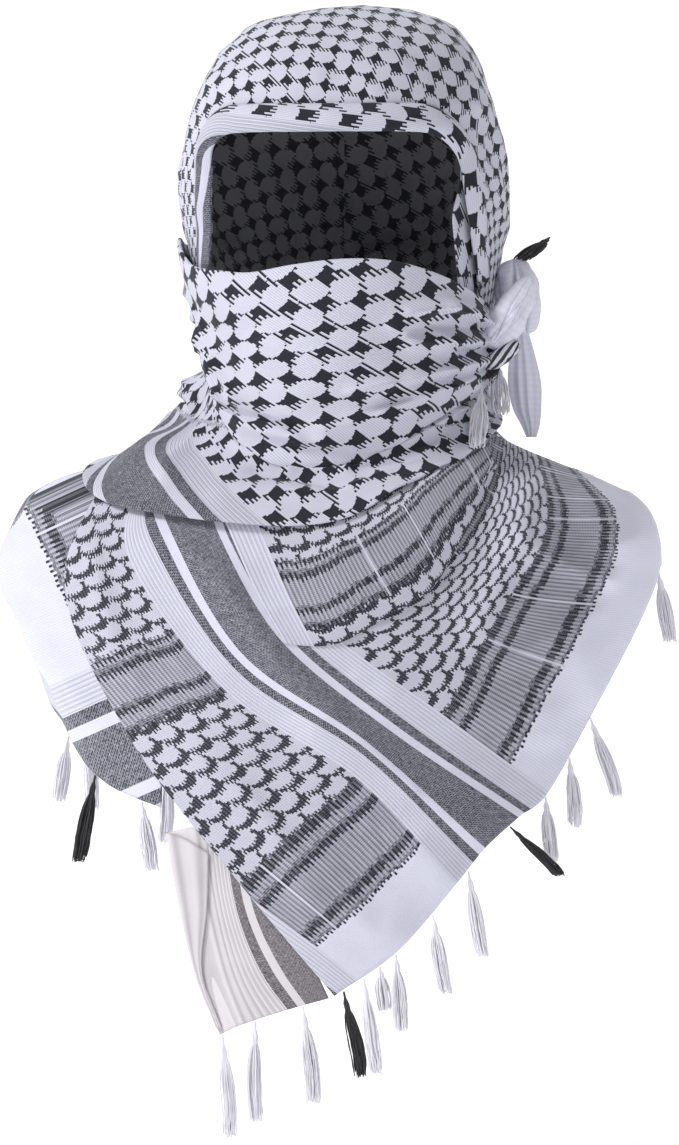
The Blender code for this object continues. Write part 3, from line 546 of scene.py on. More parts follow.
hood_drops = np.concatenate(([3, 5, 7.5], np.linspace(10, HOOD_END, 110)))
turns, drops = np.meshgrid(np.linspace(-180, 180, 241), hood_drops)
points = skin(turns, drops, hood_lift(turns, drops))
crown = np.broadcast_to(np.array((11.0, 0.0, HOOD_LIFT - 0.2)), points[:1].shape)
points = np.concatenate((crown, points))
hood = sheet_mesh("hood_cloth", points, hood_place(points), closed=True,
                  material=houndstooth_cotton, inside=painted_shade_inside)
open_eyes(hood)
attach(hood, "root")
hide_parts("hood")

# Brow fold. The hood's front edge, rolled back on itself round the eye opening. A striped
# band of the border crosses the roll at the left, and the houndstooth follows on the right.
BROW_WIDTH, BROW_OVERHANG = 16.0, 2.0
BROW_PROFILE = ((0.0, 2.3), (0.25, 5.0), (0.6, 5.6), (1.0, 2.3))

stations, run = eye_outline(170)
x, drop, out_x, out_up = (column[None, :] for column in stations.T)
share = np.linspace(1, 0, 13)[:, None]
height = blend(BROW_PROFILE, share[:, 0])[:, None]
turn = turn_at(x, drop)
radius = np.linalg.norm(figure_point(turn, drop)[..., :2], axis=-1)
reach = BROW_WIDTH * share - BROW_OVERHANG
full = 1 - fade(drop, 118, 140)
over = BROW_PROFILE[0][1] + (height - BROW_PROFILE[0][1]) * (0.25 + 0.75 * full)
side, level = turn + np.degrees(out_x * reach / radius), drop - out_up * reach
wrinkle = ripple(run[None, :], share * 20, 11, 0.5, 12, 40) * np.sin(math.pi * share)
points = skin(side, level, over + wrinkle + hood_lift(side, level))
across = 24 + (reach - 7) * 1.3 + 0.17 * (run[None, :] - 50) + 11 * fade(run[None, :], 70, 102)
place = np.stack((across, FIELD_PLACE + run[None, :] + 0 * across), -1)
points, place = turn_under(points, place, side=2, radius=1.0, depth=3)
banded_houndstooth = woven_cotton("banded_houndstooth", last_band=ONE_BAND)
brow = sheet_mesh("brow_roll", points, place, material=banded_houndstooth)
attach(brow, "root")
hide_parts("brow_fold")

# Cheek fold. The cloth of the hood turned in at the right of the opening, in soft pleats.
CHEEK_TOP, CHEEK_END, CHEEK_BACK_TURN = 100.0, 182.0, 74.0
CHEEK_X_TOP, CHEEK_X_END = 63.0, 71.0
CHEEK_LIFT = -0.5

down = np.linspace(0, 1, 60)[:, None]
back = np.linspace(0, 1, 31)[None, :]
drop = CHEEK_TOP + (CHEEK_END - CHEEK_TOP) * down + 0 * back
front_edge = CHEEK_X_TOP + (CHEEK_X_END - CHEEK_X_TOP) * down + 8 * (1 - fade(drop, CHEEK_TOP, 132))
first = turn_at(front_edge, drop)
turn = first + (CHEEK_BACK_TURN - first) * back
pleat = 1.5 * np.sin(math.pi * back) * (0.5 + 0.5 * np.cos(2 * math.pi * (2.2 * back - 0.5 * down)))
points = skin(turn, drop, CHEEK_LIFT - pleat)
place = yarn_turned(turn * ARC_PER_DEGREE * 1.4, drop, angle=50)
cheek = sheet_mesh("cheek_pleats", points, place, material=houndstooth_cotton)
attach(cheek, "root")
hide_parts("cheek_fold")

# Face wrap. A stretch of the same cloth pulled across the nose and jaw and round the back
# of the head, doubled over at its upper edge and gathered into the knot at the right.
FACE_WRAP = (
    (-180, 147, 206, 7, 11, 9.5), (-140, 147, 211, 7, 10, 9.5), (-110, 143, 213, 8, 9, 10),
    (-90, 140, 214, 8, 7, 12), (-72, 148, 223, 10, 9, 12), (-60, 156, 234, 11, 12, 10.5),
    (-45, 159, 257, 12, 16, 10), (-30, 161, 275, 12, 20, 9.5), (-15, 157, 284, 13, 23, 9.5),
    (0, 154, 281, 13, 24, 9.5), (15, 155, 270, 12, 22, 9.5), (30, 162, 255, 11, 18, 10),
    (45, 171, 241, 9, 13, 10), (60, 180, 232, 8, 9, 10), (75, 187, 222, 7, 8, 10),
    (90, 184, 221, 7, 9, 10), (115, 170, 216, 7, 10, 9.5), (145, 156, 209, 7, 11, 9.5),
)
FACE_FOLDS = (
    (62, 196, 128, 204, 5, 8), (40, 230, 118, 212, 5, 8), (-10, 258, 92, 232, 5, 7),
    (-120, 196, -62, 262, 4, 7), (-95, 246, -30, 264, 4, 6), (70, 178, 128, 192, 3, 7),
    (180, 175, 260, 185, 3, 9), (-180, 180, -270, 190, 3, 9),
)
# Smaller creases: gathers that run into the knot, and the crushed cloth at the left jaw
FACE_FINE_FOLDS = (
    (34, 181, 58, 178, 2.6, 3.5), (58, 178, 100, 190, 2.6, 3.5), (26, 190, 36, 200, 2.2, 3.5),
    (36, 200, 100, 198, 2.4, 3.5), (44, 190, 110, 195, -2.2, 4), (4, 232, 58, 217, 2.0, 3.2),
    (58, 217, 118, 206, 2.6, 3.5), (30, 226, 110, 214, -2.0, 4), (20, 246, 60, 228, 2.2, 3.2),
    (60, 228, 116, 212, 2.4, 3.2), (70, 208, 122, 202, -2.2, 3), (84, 186, 126, 198, 2.0, 3),
    (-106, 184, -84, 216, 2.4, 4), (-84, 216, -56, 250, 2.6, 4), (-96, 222, -70, 244, -2.4, 4),
    (-84, 238, -34, 252, 2.2, 3.5), (-76, 248, -30, 258, -3.0, 4), (-60, 262, 4, 268, 1.6, 4),
    (-128, 172, -120, 206, 2.0, 4), (-146, 190, -112, 226, 2.2, 5), (150, 176, 230, 196, 2.2, 5),
    (130, 196, 200, 204, 2.2, 4), (-230, 160, -150, 172, 2.0, 5), (-260, 190, -190, 182, 2.2, 5),
    (-20, 176, 24, 178, 0.8, 7), (-40, 200, 20, 212, 0.8, 8),
)
# Overlapping creases, where the cloth doubles over itself on its way to the knot
FACE_LAPS = (
    (33, 191, 50, 181, 3.2, 9), (50, 181, 110, 182, 3.2, 9), (44, 191, 64, 201, 2.2, 7),
    (64, 201, 92, 207, 2.4, 7), (14, 236, 36, 225, 2.6, 10), (36, 225, 86, 216, 3.4, 10),
    (86, 216, 120, 203, 3.4, 9),
    (-128, 196, -104, 224, 2.6, 9), (-104, 224, -72, 246, 3.0, 9), (-72, 246, -30, 262, 2.2, 8),
)


def lap_lift(laps, a, b):
    """Sum of creases that rise softly on one side and drop sharply on the other."""
    total = np.zeros(np.broadcast(a, b).shape)
    for a1, b1, a2, b2, height, width in laps:
        run_a, run_b = a2 - a1, b2 - b1
        length = math.hypot(run_a, run_b)
        t = ((a - a1) * run_a + (b - b1) * run_b) / length ** 2
        over = ((a - a1) * run_b - (b - b1) * run_a) / length
        ends = np.maximum(np.maximum(-t, t - 1), 0) * length
        shape = np.where(over > 0, np.exp(-(over / width) ** 2), np.exp(-(over / 1.3) ** 2))
        total = np.maximum(total, height * shape * np.exp(-(ends / 6) ** 2))
    return total


def wrap_table(table):
    """Table with its first and last rows again a full turn on, so its curve closes."""
    before = [(row[0] - 360, *row[1:]) for row in table[-2:]]
    after = [(row[0] + 360, *row[1:]) for row in table[:2]]
    return (*before, *table, *after)


# Height of the fine folds of a ring, as a multiple of the heights in their tables
FINE_FOLD_HEIGHT = 1.9


def ring_sheet(table, folds, fine_folds, turns, shares, seed, unevenness, laps=()):
    """Points and drops of a ring of cloth, its creases fading to its edges.

    A row of the table is a turn, the drops of both edges, and the lift at top, middle and foot.
    """
    top, low, *lifts = np.moveaxis(blend(table, turns), -1, 0)
    drops = top + (low - top) * shares
    lift = (lifts[0] * 2 * (shares - 0.5) * (shares - 1) + lifts[1] * 4 * shares * (1 - shares)
            + lifts[2] * 2 * shares * (shares - 0.5))
    edge = fade(shares, 0.0, 0.2) * (1 - 0.5 * fade(shares, 0.8, 1.0))
    arc = turns * ARC_PER_DEGREE
    whole = 360 * ARC_PER_DEGREE
    soft = ring_ripple(turns, drops, seed, unevenness)
    soft = soft * fade(shares, 0.0, 0.15) * (1 - fade(shares, 0.8, 1.0))
    fine = FINE_FOLD_HEIGHT * sum(fold_lift(fine_folds, arc + full, drops) for full in (-whole, 0, whole))
    if laps:
        fine = fine + lap_lift(laps, arc, drops)
    lift = (lift + fold_lift(folds, arc, drops) * edge
            + fine * fade(shares, 0.0, 0.12) * (1 - fade(shares, 0.86, 1.0)) + soft)
    return skin(turns, drops, lift), drops


turns, shares = np.meshgrid(np.linspace(-180, 180, 301), np.linspace(0, 1, 76))
points, drops = ring_sheet(wrap_table(FACE_WRAP), FACE_FOLDS, FACE_FINE_FOLDS, turns, shares,
                           seed=21, unevenness=0.8, laps=FACE_LAPS)
place = yarn_turned(turns * 1.65, drops * 1.16 + turns * 0.3, angle=46)
points, place = turn_under(points, place, side=0, radius=1.4, depth=7)
points, place = turn_under(points, place, side=2, radius=0.9, depth=4)
face = sheet_mesh("face_cover", points, place, closed=True, material=houndstooth_cotton)
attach(face, "root")
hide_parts("face_wrap")

# Neck wrap. The next stretch of the winding, a cowl below the face wrap. It is crushed into
# a puff at the left, where the striped band of the border also comes over the shoulder.
NECK_WRAP = (
    (-180, 197, 284, 4.2, 8, 6), (-140, 202, 283, 4.2, 8, 6), (-110, 203, 277, 4.2, 8, 6),
    (-90, 203, 275, 4.2, 8, 6.4), (-75, 210, 283, 4.2, 8, 8.6), (-60, 223, 302, 4.2, 9, 9.4),
    (-45, 246, 310, 4.2, 8, 11), (-30, 263, 315, 4.2, 8, 13), (-15, 272, 317, 4.2, 9, 13.5),
    (0, 269, 313, 4.2, 9, 13.5), (15, 258, 300, 4.2, 9, 13.5), (30, 243, 286, 4.2, 9, 13.5),
    (45, 229, 273, 4.2, 9, 14), (60, 221, 262, 4.2, 8, 14), (75, 212, 254, 4.2, 7, 12),
    (90, 211, 252, 4.2, 7, 8), (115, 206, 258, 4.2, 8, 6), (145, 199, 270, 4.2, 8, 6),
)
NECK_FOLDS = (
    (-174, 240, -146, 244, 17, 18), (-150, 262, -90, 288, 3, 8), (-60, 298, 30, 297, 3, 6),
    (180, 235, 280, 245, 4, 9), (-190, 240, -270, 245, 4, 9),
)
NECK_FINE_FOLDS = (
    (-67, 268, -31, 284, 1.6, 3), (-31, 284, 2, 284, 1.6, 3), (2, 284, 44, 262, 1.6, 3),
    (44, 262, 96, 238, 1.6, 3), (-50, 284, 0, 298, -1.6, 4), (0, 300, 60, 268, 1.4, 4),
    (-180, 226, -150, 230, 3.0, 4), (-176, 246, -140, 248, -3.0, 4), (-168, 256, -120, 276, 2.2, 4),
    (-130, 250, -110, 280, 1.8, 4), (-150, 276, -100, 296, -1.6, 5), (160, 226, 250, 236, 2.0, 5),
    (-230, 226, -300, 236, 2.0, 5), (-250, 256, -200, 262, 2.2, 5), (230, 262, 300, 256, 2.0, 5),
    (70, 246, 130, 238, 1.6, 4), (-100, 262, -84, 300, 1.4, 4),
)
# Where the band crosses a row low on the cowl, and the crease under the puff. Above that
# crease another part of the cloth shows, ten bands further on
BAND_X, BAND_ROW, CREASE_DROP = -127.0, 52, 257


def run_length(points, axis):
    """Distances along a grid of points from its first row (axis 0) or column (axis 1)."""
    steps = np.linalg.norm(np.diff(points, axis=axis), axis=-1)
    return np.concatenate((np.zeros_like(np.take(steps, [0], axis)), np.cumsum(steps, axis=axis)), axis)


turns, shares = np.meshgrid(np.linspace(-180, 180, 301), np.linspace(0, 1, 61))
points, drops = ring_sheet(wrap_table(NECK_WRAP), NECK_FOLDS, NECK_FINE_FOLDS, turns, shares,
                           seed=22, unevenness=0.8)
rim = points[BAND_ROW]
arc = run_length(rim, 0)
front_left = np.flatnonzero((rim[:, 1] < 0) & (rim[:, 0] < BAND_X))[-1]
right = (arc - arc[front_left])[None, :] + 0 * drops
fall = run_length(points, 0)
down = fall - fall[BAND_ROW][None, :] + drops[BAND_ROW][None, :] - drops[BAND_ROW, front_left]
place = yarn_turned(right, down, angle=40)
place[..., 0] += 10 * BAND_PERIOD * (drops < CREASE_DROP)
points, place = turn_under(points, place, side=2, radius=0.9, depth=5)
neck = sheet_mesh("neck_cowl", points, place, closed=True, material=banded_houndstooth)
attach(neck, "root")
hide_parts("neck_wrap")

# Shoulder cape. The side of the square that covers the left shoulder and the back, with
# its hem hanging free and its border of bars and waves along that hem.
CAPE = (
    (-44, 298, 481, 2, 2, 2), (-60, 290, 468, 2, 2, 2), (-75, 276, 448, 2, 2, 2),
    (-90, 267, 437, 2, 3, 3), (-105, 267, 438, 2, 5, 6), (-120, 268, 448, 2, 6, 8),
    (-135, 270, 462, 2, 6, 8), (-150, 270, 490, 2, 6, 8), (-180, 272, 535, 2, 6, 8),
    (-210, 262, 455, 2, 6, 8), (-225, 254, 415, 2, 5, 7), (-240, 248, 372, 2, 3, 4),
    (-260, 243, 328, 2, 2, 2), (-275, 242, 320, 2, 2, 2), (-286, 242, 304, 2, 2, 2),
)
CAPE_FOLDS = (
    (-150, 330, -118, 452, 4, 13), (-182, 330, -166, 420, 4, 12), (-226, 350, -232, 415, 10, 16),
    (-262, 340, -262, 470, 12, 17), (-312, 330, -318, 520, 13, 18), (-362, 330, -358, 470, 12, 17),
    (-404, 310, -396, 400, 8, 14),
)
CAPE_FINE_FOLDS = (
    (-130, 380, -104, 440, 1.8, 6), (-170, 300, -150, 350, 1.8, 7), (-200, 300, -206, 380, 2.0, 8),
    (-240, 290, -246, 340, 2.2, 8), (-286, 300, -290, 480, 2.4, 8), (-338, 300, -336, 480, 2.4, 8),
    (-384, 290, -378, 400, 2.0, 8), (-430, 270, -424, 330, 2.0, 7), (-300, 290, -350, 300, 1.6, 8),
)
# Where the bars turn the corner of the square on the shoulder: x and drop, and the way on.
# Behind CORNER_TURN the layer with the back's border lies over that corner
CORNER_X, CORNER_DROP = -193.0, 299.0
CORNER_COSINE, CORNER_SINE = 0.41, 0.912
CORNER_TURN, CORNER_LAST_PLACE = -112, -128.5

turns, shares = np.meshgrid(np.linspace(-286, -44, 251), np.linspace(0, 1, 81))
points, drops = ring_sheet(CAPE, CAPE_FOLDS, CAPE_FINE_FOLDS, turns, shares, seed=23, unevenness=1.0)
arc = run_length(points, 1)
arc = 0.5 * arc + 0.5 * arc[56][None, :]
fall = run_length(points, 0)
place = np.stack((arc[:, -1:] - arc - 28, fall[-1:] - fall), -1)
from_corner, rise = points[..., 0] - CORNER_X, points[..., 2] + CORNER_DROP
behind = np.maximum(points[..., 1] + 12, 0)
inward = from_corner * CORNER_SINE + rise * CORNER_COSINE + 0.9 * behind
onward = from_corner * CORNER_COSINE - rise * CORNER_SINE + 0.6 * behind
corner_across = np.maximum((onward - 163) * 0.79, CORNER_LAST_PLACE)
corner_place = np.stack((corner_across, HEM_END + np.minimum(inward, onward)), -1)
place = np.where((turns > CORNER_TURN)[..., None], corner_place, place)
points, place = turn_under(points, place, side=1, radius=0.9, depth=4)
border_cotton = woven_cotton("border_cotton", last_band=ALL_BANDS)
cape = sheet_mesh("cape_cloth", points, place, material=border_cotton)
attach(cape, "root")
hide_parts("shoulder_cape")

# Tassels. The warp ends of the cloth, knotted in bunches below the hem, each with a short
# cord, the knot, and the loose threads under it. Those at the bands are black
BLACK_TASSELS = ("tassel_shoulder_2", "tassel_back_3", "tassel_front_1", "tassel_front_7",
                 "knot_strands_dark", "knot_strands_top")


def thread_finish(name, dark, light):
    """Spun thread: fine streaks along each strand, paler where the light catches it."""
    material = bpy.data.materials.new(name)
    material.use_nodes = True
    nodes, links = material.node_tree.nodes, material.node_tree.links
    shader = nodes["Principled BSDF"]
    place = nodes.new("ShaderNodeTexCoord")
    stretch = nodes.new("ShaderNodeMapping")
    stretch.inputs["Scale"].default_value = (1.0, 1.0, 0.12)
    cloud = nodes.new("ShaderNodeTexNoise")
    cloud.inputs["Scale"].default_value = 1400.0
    cloud.inputs["Detail"].default_value = 3.0
    tone = nodes.new("ShaderNodeMix")
    tone.data_type = "RGBA"
    tone.inputs["A"].default_value = (*dark, 1)
    tone.inputs["B"].default_value = (*light, 1)
    links.new(place.outputs["Object"], stretch.inputs["Vector"])
    links.new(stretch.outputs[0], cloud.inputs["Vector"])
    links.new(cloud.outputs[0], tone.inputs["Factor"])
    links.new(tone.outputs["Result"], shader.inputs["Base Color"])
    shader.inputs["Roughness"].default_value = 0.7
    shader.inputs["Specular IOR Level"].default_value = 0.3
    return material


white_thread = thread_finish("white_thread", (0.84, 0.83, 0.90), (0.95, 0.94, 0.99))
black_thread = thread_finish("black_thread", (0.012, 0.012, 0.015), (0.085, 0.080, 0.085))


# Width of a bunch along its length: the cord, the knot and the threads, which draw in again
BUNCH_WIDTHS = ((0.0, 0.07), (0.07, 0.09), (0.10, 0.34), (0.14, 0.36), (0.18, 0.30), (0.28, 0.62), (0.6, 1.0))
BUNCH_TIP_WIDTH = 0.80


def build_tassel_tree():
    """Geometry nodes that turn a tassel's centre line into a knotted bunch of threads."""
    tree = bpy.data.node_groups.new("thread_bunch", "GeometryNodeTree")
    for name, kind in (("Geometry", "Geometry"), ("Threads", "Int"), ("Bunch radius", "Float"),
                       ("Thread radius", "Float"), ("Waviness", "Float"), ("Seed", "Int"),
                       ("Finish", "Material")):
        tree.interface.new_socket(name=name, in_out="INPUT", socket_type="NodeSocket" + kind)
    tree.interface.new_socket(name="Geometry", in_out="OUTPUT", socket_type="NodeSocketGeometry")
    start = tree.nodes.new("NodeGroupInput")
    end = tree.nodes.new("NodeGroupOutput")

    def node(kind, links, **settings):
        made = tree.nodes.new(kind)
        for key, value in settings.items():
            setattr(made, key, value)
        for socket, source in links.items():
            if isinstance(source, bpy.types.NodeSocket):
                tree.links.new(source, made.inputs[socket])
            else:
                made.inputs[socket].default_value = source
        return made

    def maths(operation, first, second):
        return node("ShaderNodeMath", {0: first, 1: second}, operation=operation).outputs[0]

    line = node("GeometryNodeMeshToCurve", {"Mesh": start.outputs["Geometry"]})
    threads = node("GeometryNodeDuplicateElements",
                   {"Geometry": line.outputs[0], "Amount": start.outputs["Threads"]}, domain="SPLINE")
    number = threads.outputs["Duplicate Index"]
    seed = start.outputs["Seed"]
    along = node("GeometryNodeSplineParameter", {}).outputs["Factor"]
    bunch = node("ShaderNodeFloatCurve", {"Value": along})
    curve = bunch.mapping.curves[0]
    for spot, width in BUNCH_WIDTHS:
        point = curve.points.new(spot, width)
        point.handle_type = "AUTO_CLAMPED"
    curve.points[0].location = BUNCH_WIDTHS[0]
    curve.points[-1].location = (1.0, BUNCH_TIP_WIDTH)
    bunch.mapping.update()

    def dice(offset, low, high):
        """Random number between two others for each thread."""
        salt = maths("ADD", seed, float(offset))
        made = node("FunctionNodeRandomValue", {"ID": number, "Seed": salt}, data_type="FLOAT")
        made.inputs[2].default_value, made.inputs[3].default_value = low, high
        return made.outputs[1]

    angle = dice(1, 0.0, 2 * math.pi)
    radius = maths("MULTIPLY", maths("SQRT", dice(2, 0.02, 1.0), 0.0), start.outputs["Bunch radius"])
    radius = maths("MULTIPLY", radius, bunch.outputs[0])
    off_x = maths("MULTIPLY", radius, maths("COSINE", angle, 0.0))
    off_y = maths("MULTIPLY", maths("MULTIPLY", radius, maths("SINE", angle, 0.0)), 0.7)
    offset = node("ShaderNodeCombineXYZ", {0: off_x, 1: off_y})
    wander = node("ShaderNodeTexNoise",
                  {"W": maths("ADD", number, dice(3, 0.0, 40.0)), "Scale": 95.0, "Detail": 1.0},
                  noise_dimensions="4D")
    centred = node("ShaderNodeVectorMath", {0: wander.outputs["Color"], 1: (0.5, 0.5, 0.5)},
                   operation="SUBTRACT")
    loose = maths("MULTIPLY", start.outputs["Waviness"], along)
    sway = node("ShaderNodeVectorMath", {0: centred.outputs[0], "Scale": loose}, operation="SCALE")
    shift = node("ShaderNodeVectorMath", {0: offset.outputs[0], 1: sway.outputs[0]}, operation="ADD")
    placed = node("GeometryNodeSetPosition",
                  {"Geometry": threads.outputs["Geometry"], "Offset": shift.outputs[0]})
    cut = node("GeometryNodeTrimCurve", {"Curve": placed.outputs[0]}, mode="FACTOR")
    tree.links.new(dice(4, 0.90, 1.0), cut.inputs[3])
    ring = node("GeometryNodeCurvePrimitiveCircle",
                {"Resolution": 4, "Radius": start.outputs["Thread radius"]})
    strands = node("GeometryNodeCurveToMesh",
                   {"Curve": cut.outputs[0], "Profile Curve": ring.outputs[0], "Fill Caps": True})
    soft = node("GeometryNodeSetShadeSmooth", {"Geometry": strands.outputs[0]})
    real = node("GeometryNodeRealizeInstances", {"Geometry": soft.outputs[0]})
    coloured = node("GeometryNodeSetMaterial",
                    {"Geometry": real.outputs[0], "Material": start.outputs["Finish"]})
    tree.links.new(coloured.outputs[0], end.inputs[0])
    return tree


tassel_tree = build_tassel_tree()


def thread_bunch(name, line, values):
    """Plain mesh of the threads round a centre line in metres, from the named inputs."""
    mesh = bpy.data.meshes.new(name + "_line")
    mesh.from_pydata([tuple(point) for point in line], [(i, i + 1) for i in range(len(line) - 1)], [])
    guide = bpy.data.objects.new(name + "_line", mesh)
    bpy.context.scene.collection.objects.link(guide)
    maker = guide.modifiers.new("threads", "NODES")
    maker.node_group = tassel_tree
    for item in tassel_tree.interface.items_tree:
        if item.in_out == "INPUT" and item.name in values:
            maker[item.identifier] = values[item.name]
    view = bpy.context.evaluated_depsgraph_get()
    made = bpy.data.meshes.new_from_object(guide.evaluated_get(view))
    made.name = name
    bpy.data.objects.remove(guide)
    piece = bpy.data.objects.new(name, made)
    bpy.context.scene.collection.objects.link(piece)
    return piece


THREAD_RADIUS = 0.36


def tassels(prefix, threads=54, spread=4.6, waviness=3.4):
    """Dress every tassel solid whose name starts so, and list the pieces."""
    made = []
    for number, node in enumerate(sorted(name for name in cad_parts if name.startswith(prefix))):
        corners = np.array([vertex.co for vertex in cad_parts[node].data.vertices])
        root = np.unique(corners[corners[:, 2] > corners[:, 2].max() - 1.2 * MM], axis=0).mean(axis=0)
        far = np.linalg.norm(corners - root, axis=-1)
        tip = corners[far > 0.9 * far.max()].mean(axis=0)
        tip = root + (tip - root) * far.max() / np.linalg.norm(tip - root)
        dice = np.random.default_rng(50 + number + len(node))
        bow = dice.uniform(-1, 1, 3) * (0.0022, 0.001, 0)
        share = np.linspace(0, 1, 15)[:, None]
        line = root + (tip - root) * share + bow * np.sin(math.pi * share) * share
        dark = node in BLACK_TASSELS
        piece = thread_bunch(node + "_threads", line, {
            "Threads": threads, "Bunch radius": spread * MM, "Thread radius": THREAD_RADIUS * MM,
            "Waviness": waviness * MM, "Seed": 70 + 7 * number,
            "Finish": black_thread if dark else white_thread})
        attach(piece, "root")
        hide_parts(node)
        made.append(piece)
    return made


tassels("tassel_back") + tassels("tassel_shoulder")

# Front drape. The corner of the square that hangs on the chest. Its lines run from hem to
# neck, left to right, and its weave gives each line its place across the bands.
DRAPE = (
    (-5, 592, -61, 526, -128, 439, -167, 349, -141, 279),
    (32, 566, -28, 494, -98, 425, -146, 341, -134, 282),
    (67, 526, 7, 463, -70, 412, -128, 334, -124, 286),
    (84, 505, 14, 442, -61, 389, -105, 313, -108, 288),
    (104, 487, 26, 434, -37, 382, -73, 322, -81, 292),
    (122, 472, 58, 425, -12, 373, -47, 325, -60, 294),
    (152, 419, 80, 388, 34, 356, -4, 322, -22, 293),
    (178, 370, 97, 359, 64, 334, 36, 312, 18, 286),
    (191, 335, 116, 329, 80, 313, 58, 296, 46, 275),
    (187, 303, 122, 303, 91, 289, 76, 277, 66, 262),
    (155, 285, 116, 270, 96, 261, 87, 256, 80, 250),
)
DRAPE_WEAVE = (
    (-147, -126, -109, -88, -80), (-96, -85, -77, -66, -62),
    *((line,) * 5 for line in (-44, -15, 15, 44, 86, 129, 165, 205, 250)),
)
DRAPE_FROM_HEM = (0, 95, 186, 285, 350)
CHEST_LIFT, CHEST_LIFT_LEFT = 6.2, 5.0
CHEST_FOLDS = (
    (112, 292, 108, 322, 12, 13), (108, 322, 84, 372, 7, 12), (122, 330, 158, 344, 3.5, 7),
    (150, 300, 166, 322, 5, 14), (-160, 318, -128, 412, 4, 13), (-74, 345, -18, 424, 5, 13),
    (-10, 436, 72, 492, 5, 16), (30, 412, 118, 428, 3.5, 12), (-86, 452, -24, 520, 4, 14),
    (-18, 540, 26, 552, 5, 14), (44, 505, 62, 524, 4, 12), (140, 380, 150, 412, 4, 13),
)
CHEST_FINE_FOLDS = (
    (118, 296, 122, 326, -2.5, 5), (112, 326, 134, 338, 2.0, 4), (134, 338, 160, 346, 2.0, 4),
    (-98, 320, -70, 350, 1.8, 6), (-70, 350, -40, 392, 2.0, 6), (-40, 392, -6, 420, 1.8, 6),
    (-120, 350, -96, 392, 1.4, 7), (-6, 424, 40, 470, 1.8, 6), (40, 470, 84, 502, 1.6, 6),
    (10, 400, 70, 402, 1.5, 6), (20, 376, 80, 366, 1.6, 5), (60, 352, 96, 330, 2.0, 4),
    (-60, 470, -30, 506, 1.6, 6), (-20, 500, 20, 560, 1.4, 7), (90, 440, 130, 440, 1.5, 6),
    (100, 392, 150, 366, 1.4, 6), (146, 330, 176, 318, 1.6, 6), (-150, 330, -140, 380, 1.6, 6),
)


def front_place(x, drop, lift):
    """Turn and drop of the figure under front points that have this x and drop when lifted."""
    try_x, try_drop = x.copy(), drop.copy()
    for _ in range(10):
        point = skin(turn_at(try_x, try_drop), try_drop, lift)
        try_x += 0.8 * (x - point[..., 0])
        try_drop += 0.8 * (drop + point[..., 2])
    return turn_at(try_x, try_drop), try_drop


def net(lines, along, across):
    """Columns of a net of lines: along goes from line to line, across up each line."""
    columns = np.array(lines, float)
    up = curve_through(np.linspace(0, 1, columns.shape[1]), np.moveaxis(columns, 1, 0), across)
    return curve_through(np.linspace(0, 1, len(lines)), np.moveaxis(up, 1, 0), along)


def chest_lift(x, drop):
    """Lift of the drape's outer face, its creases fading where the neck wrap lies on it."""
    start = CHEST_LIFT_LEFT + (CHEST_LIFT - CHEST_LIFT_LEFT) * fade(x, -120, -70)
    base = start + (CHEST_LIFT - start) * fade(drop, 300, 350)
    return base + fold_lift(CHEST_FOLDS, x, drop) * fade(drop, 258, 300)


def net_sheet(lines, weave_lines, lift_at, columns, rows):
    """Points and place in the weave of a net of lines, top row first."""
    along, across = np.linspace(0, 1, columns), np.linspace(0, 1, rows)
    pairs = np.array(lines, float).reshape(len(lines), -1, 2)
    spot = np.moveaxis(net(pairs, along, across), 0, 1)[::-1]
    weave_place = np.moveaxis(net(weave_lines, along, across), 0, 1)[::-1]
    lift = lift_at(spot[..., 0], spot[..., 1], along[None, :], across[::-1][:, None])
    turn, drop = front_place(spot[..., 0], spot[..., 1], lift)
    return skin(turn, drop, lift), weave_place


def weave_net(across_lines, from_hem):
    """Net of places in the weave from a table of lines and the distances of its stations."""
    return np.array([[(u, v) for u, v in zip(line, from_hem)] for line in across_lines], float)


def drape_lift(x, drop, along, across):
    """Lift of the drape with its finer creases, which fade at its edges."""
    inner = fade(along, 0.0, 0.06) * (1 - fade(along, 0.96, 1.0)) * fade(across, 0.0, 0.05)
    fine = fold_lift(CHEST_FINE_FOLDS, x, drop) + ripple(x, drop, 24, 0.9)
    return chest_lift(x, drop) + fine * inner * fade(drop, 290, 325)


drape_net = weave_net(DRAPE_WEAVE, DRAPE_FROM_HEM)
points, place = net_sheet(DRAPE, drape_net, drape_lift, columns=211, rows=171)
points, place = turn_under(points, place, side=3, radius=1.0, depth=6)
drape_cotton = woven_cotton("drape_cotton", last_band=ONE_BAND)
drape = sheet_mesh("drape_cloth", points, place, material=drape_cotton)
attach(drape, "root")
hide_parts("front_drape")
tassels("tassel_front")

# Chest swag. A loose fold of the border that hangs below the cowl, with the barred rows
# across it and white warp yarns that show between them.
SWAG = (
    (-35, 383, -53, 351, -74, 304), (-5, 383, -20, 352, -38, 309), (25, 367, 7, 337, -8, 305),
    (52, 350, 34, 319, 19, 294), (67, 326, 52, 298, 41, 280), (82, 299, 72, 279, 63, 267),
    (92, 278, 87, 267, 81, 256),
)
SWAG_WEAVE = [(line,) * 3 for line in (29, 56, 88, 122, 158, 192, 220)]
SWAG_FROM_HEM = (174, 214, 262)
SWAG_SWELL, SWAG_GAP, LAYER = 7.0, 0.3, 2.1
SWAG_FINE_FOLDS = (
    (-40, 362, 20, 350, 1.5, 5), (20, 350, 70, 308, 1.5, 5), (-50, 330, 10, 322, 1.2, 5),
    (10, 322, 60, 286, 1.2, 5),
)


